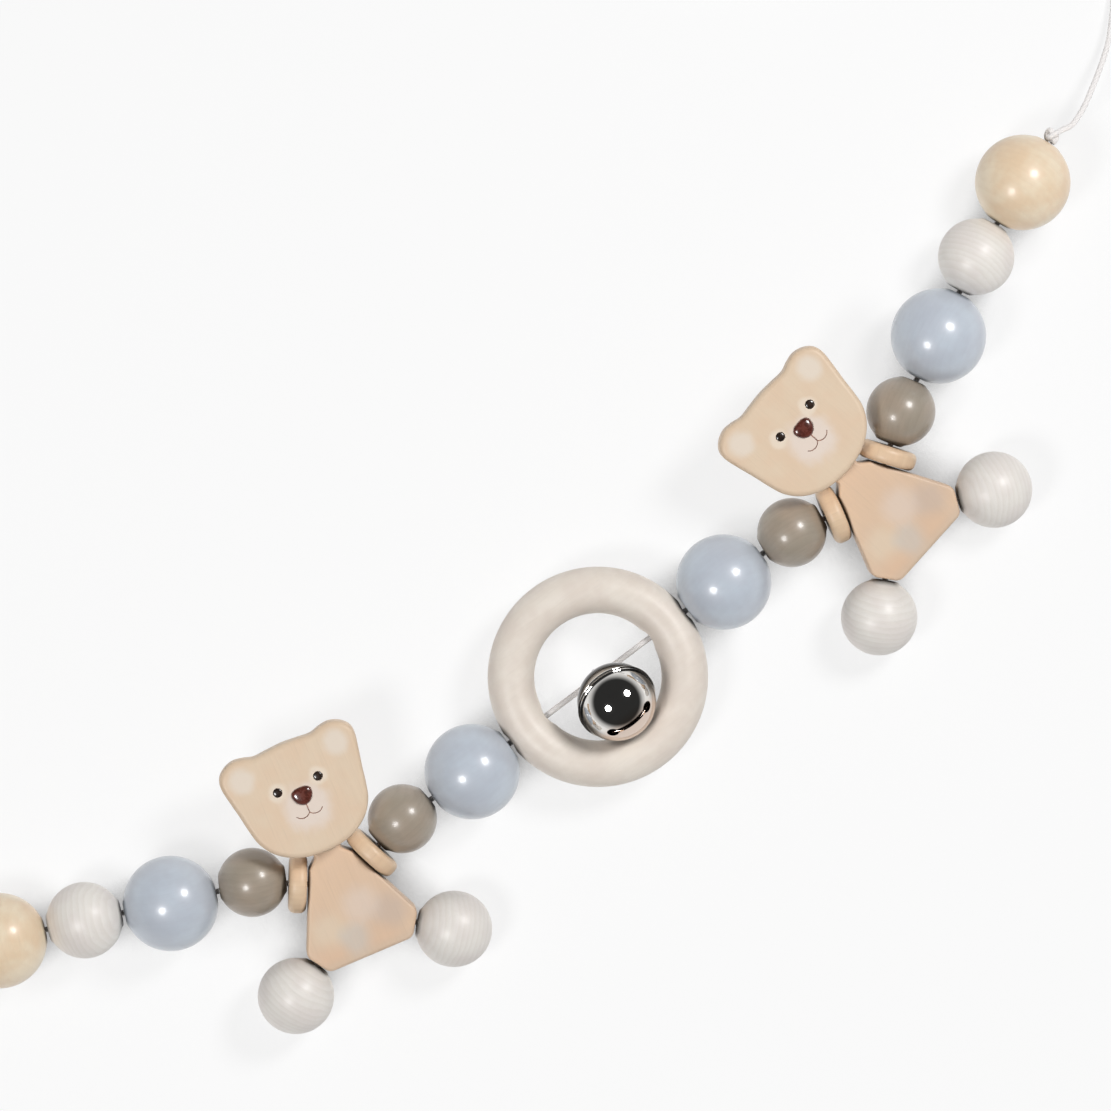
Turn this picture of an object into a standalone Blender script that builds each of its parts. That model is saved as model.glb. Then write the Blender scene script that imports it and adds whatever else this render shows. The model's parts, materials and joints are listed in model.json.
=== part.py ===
"""A pram chain toy at rest on a flat surface, in metres, +Z up.

Two flat wooden bears, round wooden beads and a grab ring with a bell are strung on one elastic
cord, and each end of the cord runs from a knot to a clip. The toy lies flat, so the cord runs level
at the radius of the largest bead, and the bears lean a little so that their feet touch the surface.
Every link of the chain is worked out from the ring outwards, from bead sizes and link directions.
"""

import math

import bmesh
import bpy
from mathutils import Matrix, Vector

# Clearances
fit_gap = 0.0003
bead_gap = 0.00035
cord_split = 0.0003
cut_overrun = 0.002
weld_distance = 0.0000001

# Cord, bores and knots
cord_d = 0.0012
bore_d = 0.0036
bore_flat_d = 0.0044
ring_side_flat_d = 0.006
knot_d = 0.0034

# Beads
blue_d = 0.020
grey_d = 0.0145
white_d = 0.016
natural_d = 0.020
foot_d = 0.016
foot_bore_depth = 0.009

# Grab ring
ring_outer_d = 0.0461
ring_inner_d = 0.0266

# Bell
bell_d = 0.0166
bell_wall = 0.0005
seam_lip = 0.0003
seam_half_height = 0.0005
bell_slot_width = 0.0011
bell_slot_length = 0.0088
bell_slot_hole_d = 0.0022
eye_wire_d = 0.001
pellet_d = 0.005

# Bear, measured from the middle between its two arm discs
arm_reach = 0.0084
arm_disc_d = 0.0124
arm_disc_thickness = 0.0038
arm_disc_edge = 0.0013
shoulder_slant = math.radians(24.5)
body_thickness = 0.008
body_edge = 0.0007
body_drop = 0.0195
body_corner_round = 0.0022
neck_half_width = 0.003
neck_top = 0.0102
neck_corner_round = 0.0012
shoulder_top = 0.0037
shoulder_side_height = 0.0020
shoulder_round = 0.0007
foot_seat_out = 0.0110
foot_seat_down = 0.0171
foot_slant = math.radians(33)
head_half_width = 0.0151
head_chin_height = 0.0049
head_height = 0.0248
head_thickness = 0.006
head_edge = 0.0012
dowel_d = 0.0025
dowel_height = 0.0074
dowel_depth_in_body = 0.005
dowel_depth_in_head = 0.0035

# Clip, along its own length from the cord's end to the tips of the jaws
clip_length = 0.038
clip_width = 0.014
clip_plate = 0.0026
clip_tooth = 0.0006
clip_tooth_length = 0.003
clip_ear = 0.002
clip_ear_round = 0.003
clip_ear_foot = 0.0048
clip_pivot_along = 0.018
clip_pivot_height = 0.0068
clip_boss_round = 0.0024
clip_channel_depth = 0.0004
clip_channel_length = 0.013
clip_edge = 0.0004
clip_tail_along = 0.0005
clip_tail_lift = 0.0102
clip_web_height = 0.0076
clip_tip_thickness = 0.002
clip_pin_d = 0.0024
clip_pin_head = 0.0002
spring_d = 0.0044
spring_wire_d = 0.0006
spring_along = 0.0052
spring_turns = 3

# Directions of the links, anticlockwise from +X
ring_axis = math.radians(37)
right_links = {
    "side": 1,
    "inner_blue": ring_axis,
    "inner_grey": math.radians(36),
    "bear": math.radians(48),
    "outer_blue": math.radians(63.5),
    "white": math.radians(64.5),
    "natural": math.radians(58),
}
left_links = {
    "side": -1,
    "inner_blue": ring_axis + math.pi,
    "inner_grey": math.radians(214),
    "bear": math.radians(203),
    "outer_blue": math.radians(194.5),
    "white": math.radians(191),
    "natural": math.radians(193.5),
}

# Free end cords, as offsets from the middle of their knot, and the way their clips point
right_end_route = [
    (0.0019, 0.0008, 0),
    (0.0040, 0.0019, -0.0001),
    (0.0064, 0.0055, -0.0009),
    (0.0084, 0.0100, -0.0026),
    (0.0103, 0.0148, -0.0046),
    (0.0118, 0.0196, -0.0064),
    (0.0126, 0.0249, -0.0078),
    (0.0129, 0.0290, -0.0086),
    (0.0126, 0.0328, -0.0091),
    (0.0110, 0.0368, -0.0093),
    (0.0076, 0.0401, -0.0093),
    (0.0030, 0.0420, -0.0093),
    (-0.0025, 0.0425, -0.0093),
    (-0.0110, 0.0424, -0.0093),
    (-0.0200, 0.0426, -0.0093),
    (-0.0300, 0.0424, -0.0093),
    (-0.0400, 0.0425, -0.0092),
    (-0.0450, 0.0425, -0.0087),
    (-0.0480, 0.0425, -0.0087),
]
left_end_route = [
    (-0.0020, -0.0005, 0),
    (-0.0046, -0.0010, -0.0002),
    (-0.0088, -0.0008, -0.0014),
    (-0.0124, 0.0010, -0.0034),
    (-0.0150, 0.0043, -0.0056),
    (-0.0162, 0.0088, -0.0074),
    (-0.0165, 0.0136, -0.0086),
    (-0.0164, 0.0190, -0.0092),
    (-0.0163, 0.0270, -0.0093),
    (-0.0165, 0.0360, -0.0093),
    (-0.0163, 0.0460, -0.0093),
    (-0.0165, 0.0560, -0.0093),
    (-0.0164, 0.0660, -0.0093),
    (-0.0164, 0.0760, -0.0093),
    (-0.0164, 0.0830, -0.0092),
    (-0.0164, 0.0860, -0.0087),
    (-0.0164, 0.0880, -0.0087),
]
right_clip_heading = math.radians(180)
left_clip_heading = math.radians(90)

# Half of the head's outline, chin to crown, as shares of its half width and height
head_outline_shares = [
    (0, 0),
    (0.30, 0.020),
    (0.52, 0.074),
    (0.70, 0.160),
    (0.82, 0.275),
    (0.875, 0.400),
    (0.915, 0.540),
    (0.965, 0.690),
    (1.000, 0.820),
    (0.975, 0.905),
    (0.87, 0.968),
    (0.72, 1.000),
    (0.57, 0.990),
    (0.42, 0.966),
    (0.22, 0.974),
    (0, 0.982),
]

# Steps round turned pieces and along curved ones
bead_steps = 18
bead_arc_steps = 6
ring_steps = 36
ring_tube_steps = 12
bell_steps = 20
bell_arc_steps = 6
outline_steps = 2
fillet_steps = 3
disc_edge_steps = 3
eye_arc_steps = 10
cord_route_steps = 6
cord_span_in_diameters = 2.2
spring_points_per_turn = 9

# Sizes that follow
cord_r = cord_d / 2
bore_r = bore_d / 2
bead_flat_r = bore_flat_d / 2
cord_height = max(blue_d, natural_d) / 2
lowest_cord = cord_r - cord_height
ring_tube_r = (ring_outer_d - ring_inner_d) / 4
ring_major_r = (ring_outer_d + ring_inner_d) / 4
bell_r = bell_d / 2
bell_seam_r = bell_r + seam_lip
eye_half_width = cord_r + fit_gap + eye_wire_d / 2
bell_reach = bell_r + eye_half_width
disc_reach = arm_disc_thickness / 2
foot_drop = foot_seat_down + (foot_d / 2 + fit_gap) * math.sin(foot_slant)
bear_lean = math.asin((cord_height - foot_d / 2) / foot_drop)
up = Vector((0, 0, 1))
right_way = Vector((1, 0, 0))

# Finishes: linear colour, roughness, metallic
finishes = {
    "natural": ((0.839, 0.686, 0.479), 0.35, 0),
    "white": ((0.839, 0.807, 0.760), 0.45, 0),
    "blue": ((0.491, 0.578, 0.701), 0.3, 0),
    "grey": ((0.328, 0.275, 0.216), 0.3, 0),
    "ring": ((0.807, 0.730, 0.631), 0.5, 0),
    "head": ((0.807, 0.680, 0.515), 0.5, 0),
    "body": ((0.791, 0.597, 0.429), 0.5, 0),
    "arm": ((0.839, 0.610, 0.413), 0.5, 0),
    "cord": ((0.753, 0.753, 0.730), 0.8, 0),
    "bell": ((0.750, 0.740, 0.720), 0.12, 1),
    "steel": ((0.600, 0.600, 0.600), 0.3, 1),
    "plastic": ((0.850, 0.850, 0.840), 0.35, 0),
}

# The place of each empty, which Blender itself works out only later
frames = {}


def flat_direction(angle):
    """A level unit vector at an angle from +X."""
    return Vector((math.cos(angle), math.sin(angle), 0))


def frame_along(point, axis, toward=up):
    """A frame at a point with its Z along the axis and its X near another direction."""
    z = axis.normalized()
    x = (toward - z * toward.dot(z)).normalized()
    turn = Matrix((x, z.cross(x), z)).transposed().to_4x4()
    return Matrix.Translation(point) @ turn


def frame_level(point, heading):
    """A frame at a point with its X along a level heading and its Z up."""
    return Matrix.Translation(point) @ Matrix.Rotation(heading, 4, "Z")


def seat(obj, frame, parent):
    """Places an object by its frame in the world and hangs it on an empty."""
    bpy.context.scene.collection.objects.link(obj)
    if parent:
        obj.parent = parent
        obj.matrix_parent_inverse = frames[parent.name].inverted()
    obj.matrix_basis = frame
    return obj


def joint_empty(name, frame, parent):
    """An empty on a joint: its Z is the joint's axis, and what moves there hangs on it."""
    empty = bpy.data.objects.new(name, None)
    empty.empty_display_size = blue_d
    frames[empty.name] = frame
    return seat(empty, frame, parent)


def material_for(name, finish):
    colour, roughness, metallic = finishes[finish]
    material = bpy.data.materials.new(name)
    material.use_nodes = True
    shader = material.node_tree.nodes["Principled BSDF"]
    shader.inputs["Base Color"].default_value = (*colour, 1)
    shader.inputs["Roughness"].default_value = roughness
    shader.inputs["Metallic"].default_value = metallic
    return material


def mesh_object(name, bm):
    """Makes an object of a finished shape, with its faces turned outwards."""
    bmesh.ops.recalc_face_normals(bm, faces=bm.faces)
    mesh = bpy.data.meshes.new(name)
    bm.to_mesh(mesh)
    bm.free()
    return bpy.data.objects.new(name, mesh)


def piece(name, bm, finish, frame, parent):
    """Makes one piece of the toy, shaded smooth where it is round."""
    obj = mesh_object(name, bm)
    obj.data.shade_smooth()
    obj.data.set_sharp_from_angle(angle=math.radians(35))
    obj.data.materials.append(material_for(name, finish))
    return seat(obj, frame, parent)


def turned(profile, steps, closed=False):
    """Turns (radius, height) points about Z. An open profile starts and ends on the axis."""
    bm = bmesh.new()
    points = [bm.verts.new((radius, 0, height)) for radius, height in profile]
    pairs = list(zip(points, points[1:]))
    if closed:
        pairs.append((points[-1], points[0]))
    edges = [bm.edges.new(pair) for pair in pairs]
    bmesh.ops.spin(
        bm,
        geom=points + edges,
        cent=(0, 0, 0),
        axis=(0, 0, 1),
        angle=2 * math.pi,
        steps=steps,
        use_merge=True,
    )
    bmesh.ops.remove_doubles(bm, verts=bm.verts, dist=weld_distance)
    return bm


def arc(radius, start, end, steps, middle=(0, 0)):
    """Points of an arc from one angle to another."""
    angles = [start + (end - start) * step / steps for step in range(steps + 1)]
    return [
        (middle[0] + radius * math.cos(angle), middle[1] + radius * math.sin(angle))
        for angle in angles
    ]


def filleted(corners):
    """An outline with each corner (x, y, radius) rounded by an arc."""
    outline = []
    for place, (x, y, radius) in enumerate(corners):
        corner = Vector((x, y))
        before = (Vector(corners[place - 1][:2]) - corner).normalized()
        after = (Vector(corners[(place + 1) % len(corners)][:2]) - corner).normalized()
        half = before.angle(after) / 2
        middle = corner + (before + after).normalized() * radius / math.sin(half)
        spoke = corner + before * radius / math.tan(half) - middle
        swing = math.copysign(math.pi - 2 * half, after.cross(before))
        start = math.atan2(spoke.y, spoke.x)
        outline += arc(radius, start, start + swing, fillet_steps, middle)
    return outline


def smooth_through(points, steps, closed=False):
    """A smooth curve through the points, with so many steps from each to the next."""
    points = [Vector(point) for point in points]
    count = len(points)
    found = []
    for span in range(count if closed else count - 1):
        if closed:
            a, b, c, d = (points[(span + shift) % count] for shift in (-1, 0, 1, 2))
        else:
            b, c = points[span], points[span + 1]
            a = points[span - 1] if span else b * 2 - c
            d = points[span + 2] if span + 2 < count else c * 2 - b
        for step in range(steps):
            t = step / steps
            bend = (a * 2 - b * 5 + c * 4 - d) * t**2 + (b * 3 - a - c * 3 + d) * t**3
            found.append((b * 2 + (c - a) * t + bend) / 2)
    return found if closed else found + [points[-1]]


def evenly(points, spacing):
    """Points along a line at even spacing, with its two ends kept."""
    runs = [(b - a).length for a, b in zip(points, points[1:])]
    count = max(2, round(sum(runs) / spacing))
    found = [points[0]]
    for place in range(1, count):
        left = sum(runs) * place / count
        span = 0
        while left > runs[span]:
            left -= runs[span]
            span += 1
        found.append(points[span].lerp(points[span + 1], left / runs[span]))
    return found + [points[-1]]


def length_of(points):
    return sum((b - a).length for a, b in zip(points, points[1:]))


def tube(name, points, diameter, finish, frame, parent, resolution=2):
    """A round tube through points given in its own frame, with its ends closed."""
    curve = bpy.data.curves.new(name, "CURVE")
    curve.dimensions = "3D"
    curve.bevel_depth = diameter / 2
    curve.bevel_resolution = resolution
    curve.use_fill_caps = True
    spline = curve.splines.new("POLY")
    spline.points.add(len(points) - 1)
    for place, point in zip(spline.points, points):
        place.co = (*point, 1)
    spline.use_smooth = True
    curve.materials.append(material_for(name, finish))
    return seat(bpy.data.objects.new(name, curve), frame, parent)


def cord_piece(name, route, frame, parent):
    """A stretch of cord through world points, cut back at both ends by half the split."""
    line = smooth_through(route, cord_route_steps)
    line[0] = line[0] + (line[1] - line[0]).normalized() * cord_split / 2
    line[-1] = line[-1] + (line[-2] - line[-1]).normalized() * cord_split / 2
    back = frame.inverted()
    points = [back @ point for point in evenly(line, cord_d * cord_span_in_diameters)]
    return tube(name, points, cord_d, "cord", frame, parent)


def plate(name, outline, low, high, edge, edge_steps, finish, frame, parent):
    """A flat piece cut to an outline, from low to high, with its rims rounded."""
    bm = bmesh.new()
    base = bm.faces.new([bm.verts.new((x, y, low)) for x, y in outline])
    grown = bmesh.ops.extrude_face_region(bm, geom=[base])
    lifted = [item for item in grown["geom"] if isinstance(item, bmesh.types.BMVert)]
    bmesh.ops.translate(bm, verts=lifted, vec=(0, 0, high - low))
    obj = piece(name, bm, finish, frame, parent)
    rims = obj.modifiers.new("rounded rims", "BEVEL")
    rims.width = edge
    rims.segments = edge_steps
    rims.limit_method = "ANGLE"
    rims.angle_limit = math.radians(60)
    return obj


def cut(obj, name, bm, frame, parent):
    """Cuts a shape out of a piece. The shape stays in the file as a hidden helper."""
    cutter = seat(mesh_object(name, bm), frame, parent)
    cutter.hide_render = True
    cutter.display_type = "WIRE"
    boolean = obj.modifiers.new(name, "BOOLEAN")
    boolean.operation = "DIFFERENCE"
    boolean.solver = "EXACT"
    boolean.object = cutter


def drill(obj, name, line, radius, frame, parent):
    """Drills a round hole along straight runs, which meet in a mitre where they turn."""
    points = [Vector(point) for point in line]
    runs = [(b - a).normalized() for a, b in zip(points, points[1:])]
    faces = [(a + b).normalized() for a, b in zip(runs, runs[1:])] + [runs[-1]]
    turn = runs[0].to_track_quat("Z", "Y").to_matrix().to_4x4()
    first = Matrix.Translation(points[0]) @ turn
    circle = arc(radius, 0, 2 * math.pi, bead_steps)[:-1]
    ring = [first @ Vector((x, y, 0)) for x, y in circle]
    bm = bmesh.new()
    rings = [[bm.verts.new(place) for place in ring]]
    for point, run, face in zip(points[1:], runs, faces):
        ring = [place + run * (point - place).dot(face) / run.dot(face) for place in ring]
        rings.append([bm.verts.new(place) for place in ring])
    for low, high in zip(rings, rings[1:]):
        for spot in range(len(circle)):
            bm.faces.new((low[spot - 1], low[spot], high[spot], high[spot - 1]))
    bm.faces.new(rings[0])
    bm.faces.new(rings[-1])
    cut(obj, name, bm, frame, parent)


def carve_block(obj, name, low, high, frame, parent):
    """Cuts a square block out of a piece, from one corner of it to the other."""
    bm = bmesh.new()
    bmesh.ops.create_cube(bm, size=1)
    low, high = Vector(low), Vector(high)
    bmesh.ops.scale(bm, vec=high - low, verts=bm.verts)
    bmesh.ops.translate(bm, vec=(low + high) / 2, verts=bm.verts)
    cut(obj, name, bm, frame, parent)


def bead(name, diameter, finish, frame, parent, low_flat_r=bead_flat_r):
    """A round bead bored along its own Z, with a small flat round each mouth."""
    radius = diameter / 2
    start = math.asin(low_flat_r / radius) - math.pi / 2
    end = math.pi / 2 - math.asin(bead_flat_r / radius)
    outside = arc(radius, start, 0, bead_arc_steps // 2)
    outside += arc(radius, 0, end, bead_arc_steps // 2)[1:]
    profile = [(bore_r, outside[0][1]), *outside, (bore_r, outside[-1][1])]
    return piece(name, turned(profile, bead_steps, closed=True), finish, frame, parent)


def foot_bead(name, frame, parent):
    """A foot: a bead bored halfway, from the side that meets the bear."""
    radius = foot_d / 2
    start = math.asin(bead_flat_r / radius) - math.pi / 2
    outside = arc(radius, start, 0, bead_arc_steps // 2)
    outside += arc(radius, 0, math.pi / 2, bead_arc_steps // 2)[1:-1]
    bottom = outside[0][1]
    bore_end = bottom + foot_bore_depth
    bore = [(0, bore_end), (bore_r, bore_end), (bore_r, bottom)]
    profile = [*bore, *outside, (0, radius)]
    return piece(name, turned(profile, bead_steps), "white", frame, parent)


def make_ring(frame, parent):
    """The grab ring, bored right across for the cord."""
    profile = arc(ring_tube_r, 0, 2 * math.pi, ring_tube_steps, (ring_major_r, 0))[:-1]
    ring = piece("ring", turned(profile, ring_steps, closed=True), "ring", frame, parent)
    far = ring_outer_d / 2 + cut_overrun
    drill(ring, "ring_bore", [(-far, 0, 0), (far, 0, 0)], bore_r, frame, parent)


def bell_shell(name, side, frame, parent):
    """Half of the bell, on one side of the seam, with its lip."""
    inner_r = bell_r - bell_wall
    seam = fit_gap / 2
    outside = arc(bell_r, math.pi / 2, math.asin(seam_half_height / bell_r), bell_arc_steps)
    inside = arc(inner_r, math.asin(seam_half_height / inner_r), math.pi / 2, bell_arc_steps)
    lip = [(bell_seam_r, seam_half_height), (bell_seam_r, seam), (inner_r, seam)]
    half = [(0, bell_r), *outside[1:], *lip, *inside[:-1], (0, inner_r)]
    profile = [(radius, side * height) for radius, height in half]
    return piece(name, turned(profile, bell_steps), "bell", frame, parent)


def make_bell(ring_middle, parent):
    """The bell hangs by its eye on the cord inside the ring, and leans on the ring."""
    apart = bell_seam_r + ring_tube_r + fit_gap
    lean = math.acos(
        (ring_major_r**2 + bell_reach**2 - apart**2) / (2 * ring_major_r * bell_reach)
    )
    along = flat_direction(ring_axis)
    aside = flat_direction(ring_axis - math.pi / 2)
    hang = aside * math.cos(lean) + up * math.sin(lean)
    middle = ring_middle + hang * bell_reach
    print(f"bell leans {math.degrees(lean):.1f} degrees above the ring's plane")
    swing = joint_empty("bell_swing", frame_along(ring_middle, -along, hang), parent)
    frame = frame_along(middle, hang, along)
    bell_shell("bell_upper_shell", -1, frame, swing)
    lower = bell_shell("bell_lower_shell", 1, frame, swing)

    half = bell_slot_length / 2
    deep = bell_r - half
    over = bell_r + cut_overrun
    low = (-half, -bell_slot_width / 2, deep)
    carve_block(lower, "bell_slot", low, (half, bell_slot_width / 2, over), frame, swing)
    for side in (-1, 1):
        line = [(side * half, 0, deep), (side * half, 0, over)]
        drill(lower, f"bell_slot_end_{side}", line, bell_slot_hole_d / 2, frame, swing)

    loop = arc(eye_half_width, math.pi, 2 * math.pi, eye_arc_steps, (0, -bell_reach))
    foot = -(bell_r + fit_gap)
    legs = [(-eye_half_width, foot), *loop, (eye_half_width, foot)]
    eye = [Vector((0, y, z)) for y, z in legs]
    tube("bell_eye", eye, eye_wire_d, "steel", frame, swing, resolution=1)

    drop = bell_r - bell_wall - fit_gap - pellet_d / 2
    roll = joint_empty("bell_pellet_roll", frame_along(middle, along), swing)
    ball = arc(pellet_d / 2, -math.pi / 2, math.pi / 2, bead_arc_steps)
    ball[0], ball[-1] = (0, -pellet_d / 2), (0, pellet_d / 2)
    place = frame_along(middle - up * drop, up, along)
    piece("bell_pellet", turned(ball, bead_steps // 2), "steel", place, roll)


def shoulder_at(height):
    """Half the body's width at a height, along its slanted side."""
    offset = arm_reach * math.cos(shoulder_slant) - disc_reach - fit_gap
    return (offset - height * math.sin(shoulder_slant)) / math.cos(shoulder_slant)


def body_outline():
    """A neck behind the head, slanted sides for the arms, and a slanted seat for each foot."""
    side_face = Vector((math.cos(shoulder_slant), math.sin(shoulder_slant)))
    seat_run = Vector((math.sin(foot_slant), math.cos(foot_slant)))
    middle = Vector((foot_seat_out, -foot_seat_down))
    to_side = Vector((shoulder_at(0), 0)) - middle
    corner = middle + seat_run * to_side.dot(side_face) / seat_run.dot(side_face)
    bottom = middle - seat_run * (body_drop - foot_seat_down) / seat_run.y
    half = [
        (bottom.x, bottom.y, body_corner_round),
        (corner.x, corner.y, body_corner_round),
        (shoulder_at(shoulder_side_height), shoulder_side_height, shoulder_round),
        (neck_half_width, shoulder_top, shoulder_round),
        (neck_half_width, neck_top, neck_corner_round),
    ]
    return filleted(half + [(-x, y, radius) for x, y, radius in reversed(half)])


def head_outline():
    """Cheeks that widen to two round ears, with a crown between them."""
    half = [
        (across * head_half_width, head_chin_height + rise * head_height)
        for across, rise in head_outline_shares
    ]
    whole = half + [(-x, y) for x, y in reversed(half[1:-1])]
    return smooth_through(whole, outline_steps, closed=True)


def arm_disc(name, frame, parent):
    """An arm: a thin disc with rounded rims, bored like a bead."""
    inner = (arm_disc_d / 2 - arm_disc_edge, disc_reach - arm_disc_edge)
    top = arc(arm_disc_edge, 0, math.pi / 2, disc_edge_steps, inner)
    bottom = [(radius, -height) for radius, height in reversed(top)]
    profile = [(bore_r, -disc_reach), *bottom, *top, (bore_r, disc_reach)]
    return piece(name, turned(profile, bead_steps, closed=True), "arm", frame, parent)


def make_bear(name, frame, gates, parent):
    """A bear on the joint before it. The gates are where the cord enters and leaves, by side."""
    back = frame.inverted()
    half = body_thickness / 2
    low, high = half + fit_gap, half + fit_gap + head_thickness
    outline = body_outline()
    body = plate(f"{name}_bear_body", outline, -half, half, body_edge, 2, "body", frame, parent)
    outline = head_outline()
    head = plate(f"{name}_bear_head", outline, low, high, head_edge, 2, "head", frame, parent)

    neck = Vector((0, dowel_height, 0))
    floor, roof = half - dowel_depth_in_body, low + dowel_depth_in_head
    hole_r = dowel_d / 2 + fit_gap
    line = [neck + up * floor, neck + up * (half + cut_overrun)]
    drill(body, f"{name}_dowel_hole_in_body", line, hole_r, frame, parent)
    line = [neck + up * (low - cut_overrun), neck + up * roof]
    drill(head, f"{name}_dowel_hole_in_head", line, hole_r, frame, parent)
    bottom, top = floor + fit_gap, roof - fit_gap
    peg = [(0, bottom), (dowel_d / 2, bottom), (dowel_d / 2, top), (0, top)]
    place = frame @ Matrix.Translation(neck)
    piece(f"{name}_neck_dowel", turned(peg, bead_steps), "arm", place, parent)

    arm_meet = Vector((0, -arm_reach * math.tan(shoulder_slant), 0))
    leg_meet = Vector((0, foot_seat_out * math.tan(foot_slant) - foot_seat_down, 0))
    discs = [Vector((side * arm_reach, 0, 0)) for side in (-1, 1)]
    drill(body, f"{name}_arm_bore", [discs[0], arm_meet, discs[1]], bore_r, frame, parent)
    seats = [Vector((side * foot_seat_out, -foot_seat_down, 0)) for side in (-1, 1)]
    over = 1 + cut_overrun / (seats[0] - leg_meet).length
    line = [leg_meet.lerp(seats[0], over), leg_meet, leg_meet.lerp(seats[1], over)]
    drill(body, f"{name}_leg_bore", line, bore_r, frame, parent)

    arm_line, leg_line = {}, {}
    for side, gate in gates.items():
        where = "outer" if gate["outer"] else "inner"
        arm_way = Vector((side * math.cos(shoulder_slant), math.sin(shoulder_slant), 0))
        disc = Vector((side * arm_reach, 0, 0))
        place = frame_along(frame @ disc, frame.to_3x3() @ arm_way)
        arm_disc(f"{name}_{where}_arm_disc", place, parent)
        arm_line[side] = [back @ gate["place"], disc, disc - arm_way * (disc_reach + bore_r)]

        leg_way = Vector((side * math.cos(foot_slant), -math.sin(foot_slant), 0))
        flat = Vector((side * foot_seat_out, -foot_seat_down, 0))
        foot = flat + leg_way * (foot_d / 2 + fit_gap)
        foot_bead(f"{name}_{where}_foot", frame_along(frame @ foot, frame.to_3x3() @ leg_way), parent)
        face = math.sqrt((foot_d / 2) ** 2 - bead_flat_r**2)
        tip = foot + leg_way * (foot_bore_depth - face - cord_split / 2)
        leg_line[side] = [tip, foot, flat - leg_way * bore_r]

    slack = bore_r - cord_r * math.cos(shoulder_slant) - fit_gap
    middle = arm_meet + Vector((0, slack, 0))
    route = [*arm_line[-1], middle, *reversed(arm_line[1])]
    cord_piece(f"{name}_bear_cord", [frame @ point for point in route], frame, parent)
    slack = bore_r - cord_r * math.cos(foot_slant) - fit_gap
    middle = leg_meet - Vector((0, slack, 0))
    route = [*leg_line[-1], middle, *reversed(leg_line[1])]
    cord_piece(f"{name}_leg_cord", [frame @ point for point in route], frame, parent)


def knotted_cord(name, start, axis, bead_middle, parent):
    """The last stretch of elastic, through the end bead, with its knot outside."""
    knot_r = knot_d / 2
    middle = (bead_middle - start).length + natural_d / 2 + bead_gap + knot_r
    low = cord_split / 2
    meet = math.asin(cord_r / knot_r)
    knot = arc(knot_r, meet - math.pi / 2, math.pi / 2, bead_arc_steps, (0, middle))
    profile = [(0, low), (cord_r, low), *knot[:-1], (0, middle + knot_r)]
    piece(name, turned(profile, bead_steps // 2), "cord", frame_along(start, axis), parent)
    return start + axis * middle


def clip_pin_hole(jaw, name, frame, parent):
    wide = clip_width / 2 + cut_overrun
    line = [(clip_pivot_along, side * wide, clip_pivot_height) for side in (-1, 1)]
    drill(jaw, name, line, clip_pin_d / 2 + fit_gap, frame, parent)


def clip_lower_jaw(name, frame, parent):
    """The lower jaw: a plate with a raised tip and two ears for the pin."""
    ear_angles = math.radians(-15), math.radians(195)
    pivot = (clip_pivot_along, clip_pivot_height)
    tooth = clip_length - clip_tooth_length
    outline = [
        (0, 0),
        (clip_length, 0),
        (clip_length, clip_plate + clip_tooth),
        (tooth, clip_plate + clip_tooth),
        (tooth - clip_tooth, clip_plate),
        (clip_pivot_along + clip_ear_foot, clip_plate),
        *arc(clip_ear_round, *ear_angles, bead_arc_steps, pivot),
        (clip_pivot_along - clip_ear_foot, clip_plate),
        (0, clip_plate),
    ]
    half = clip_width / 2
    upright = frame @ Matrix.Rotation(math.pi / 2, 4, "X")
    jaw = plate(name, outline, -half, half, clip_edge, 1, "plastic", upright, parent)
    reach = clip_channel_length / 2
    low = (clip_pivot_along - reach, clip_ear - half, clip_plate - clip_channel_depth)
    top = clip_pivot_height + clip_ear_round + cut_overrun
    high = (clip_pivot_along + reach, half - clip_ear, top)
    carve_block(jaw, f"{name}_channel", low, high, frame, parent)
    clip_pin_hole(jaw, f"{name}_pin_hole", frame, parent)


def clip_upper_jaw(name, frame, parent):
    """The upper jaw: a lever between the ears, which rises to its tail."""
    tip = clip_plate + clip_tooth + fit_gap
    outline = [
        (clip_length - clip_tooth_length, tip),
        (clip_length, tip),
        (clip_length, tip + clip_tip_thickness),
        (clip_pivot_along + clip_ear_foot, clip_pivot_height + clip_boss_round),
        (clip_pivot_along - clip_boss_round, clip_pivot_height + clip_ear_round),
        (clip_tail_along, clip_tail_lift + clip_tip_thickness),
        (clip_tail_along, clip_tail_lift),
        (clip_pivot_along - clip_ear_foot, clip_web_height),
        (clip_pivot_along - clip_boss_round, clip_pivot_height - clip_boss_round),
        (clip_pivot_along + clip_boss_round, clip_pivot_height - clip_boss_round),
    ]
    half = clip_width / 2 - clip_ear - fit_gap
    upright = frame @ Matrix.Rotation(math.pi / 2, 4, "X")
    jaw = plate(name, outline, -half, half, clip_edge, 1, "plastic", upright, parent)
    clip_pin_hole(jaw, f"{name}_pin_hole", frame, parent)


def clip_spring(name, frame, parent):
    """The coil spring that stands under the tail of the upper jaw."""
    run = clip_pivot_along - clip_ear_foot - clip_tail_along
    fall = (clip_tail_lift - clip_web_height) / run
    under_tail = clip_tail_lift - fall * (spring_along + spring_d / 2 - clip_tail_along)
    low = clip_plate + fit_gap + spring_wire_d / 2
    high = under_tail - fit_gap - spring_wire_d / 2
    count = spring_turns * spring_points_per_turn
    coil_r = (spring_d - spring_wire_d) / 2
    points = []
    for place in range(count + 1):
        across = flat_direction(2 * math.pi * place / spring_points_per_turn) * coil_r
        height = low + (high - low) * place / count
        points.append(Vector((spring_along, 0, height)) + across)
    later = points[spring_points_per_turn:]
    least = min((b - a).length for a, b in zip(points, later)) - spring_wire_d
    print(f"{name}: least gap between turns {least * 1000:.2f} mm")
    tube(name, points, spring_wire_d, "steel", frame, parent, resolution=1)


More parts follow.
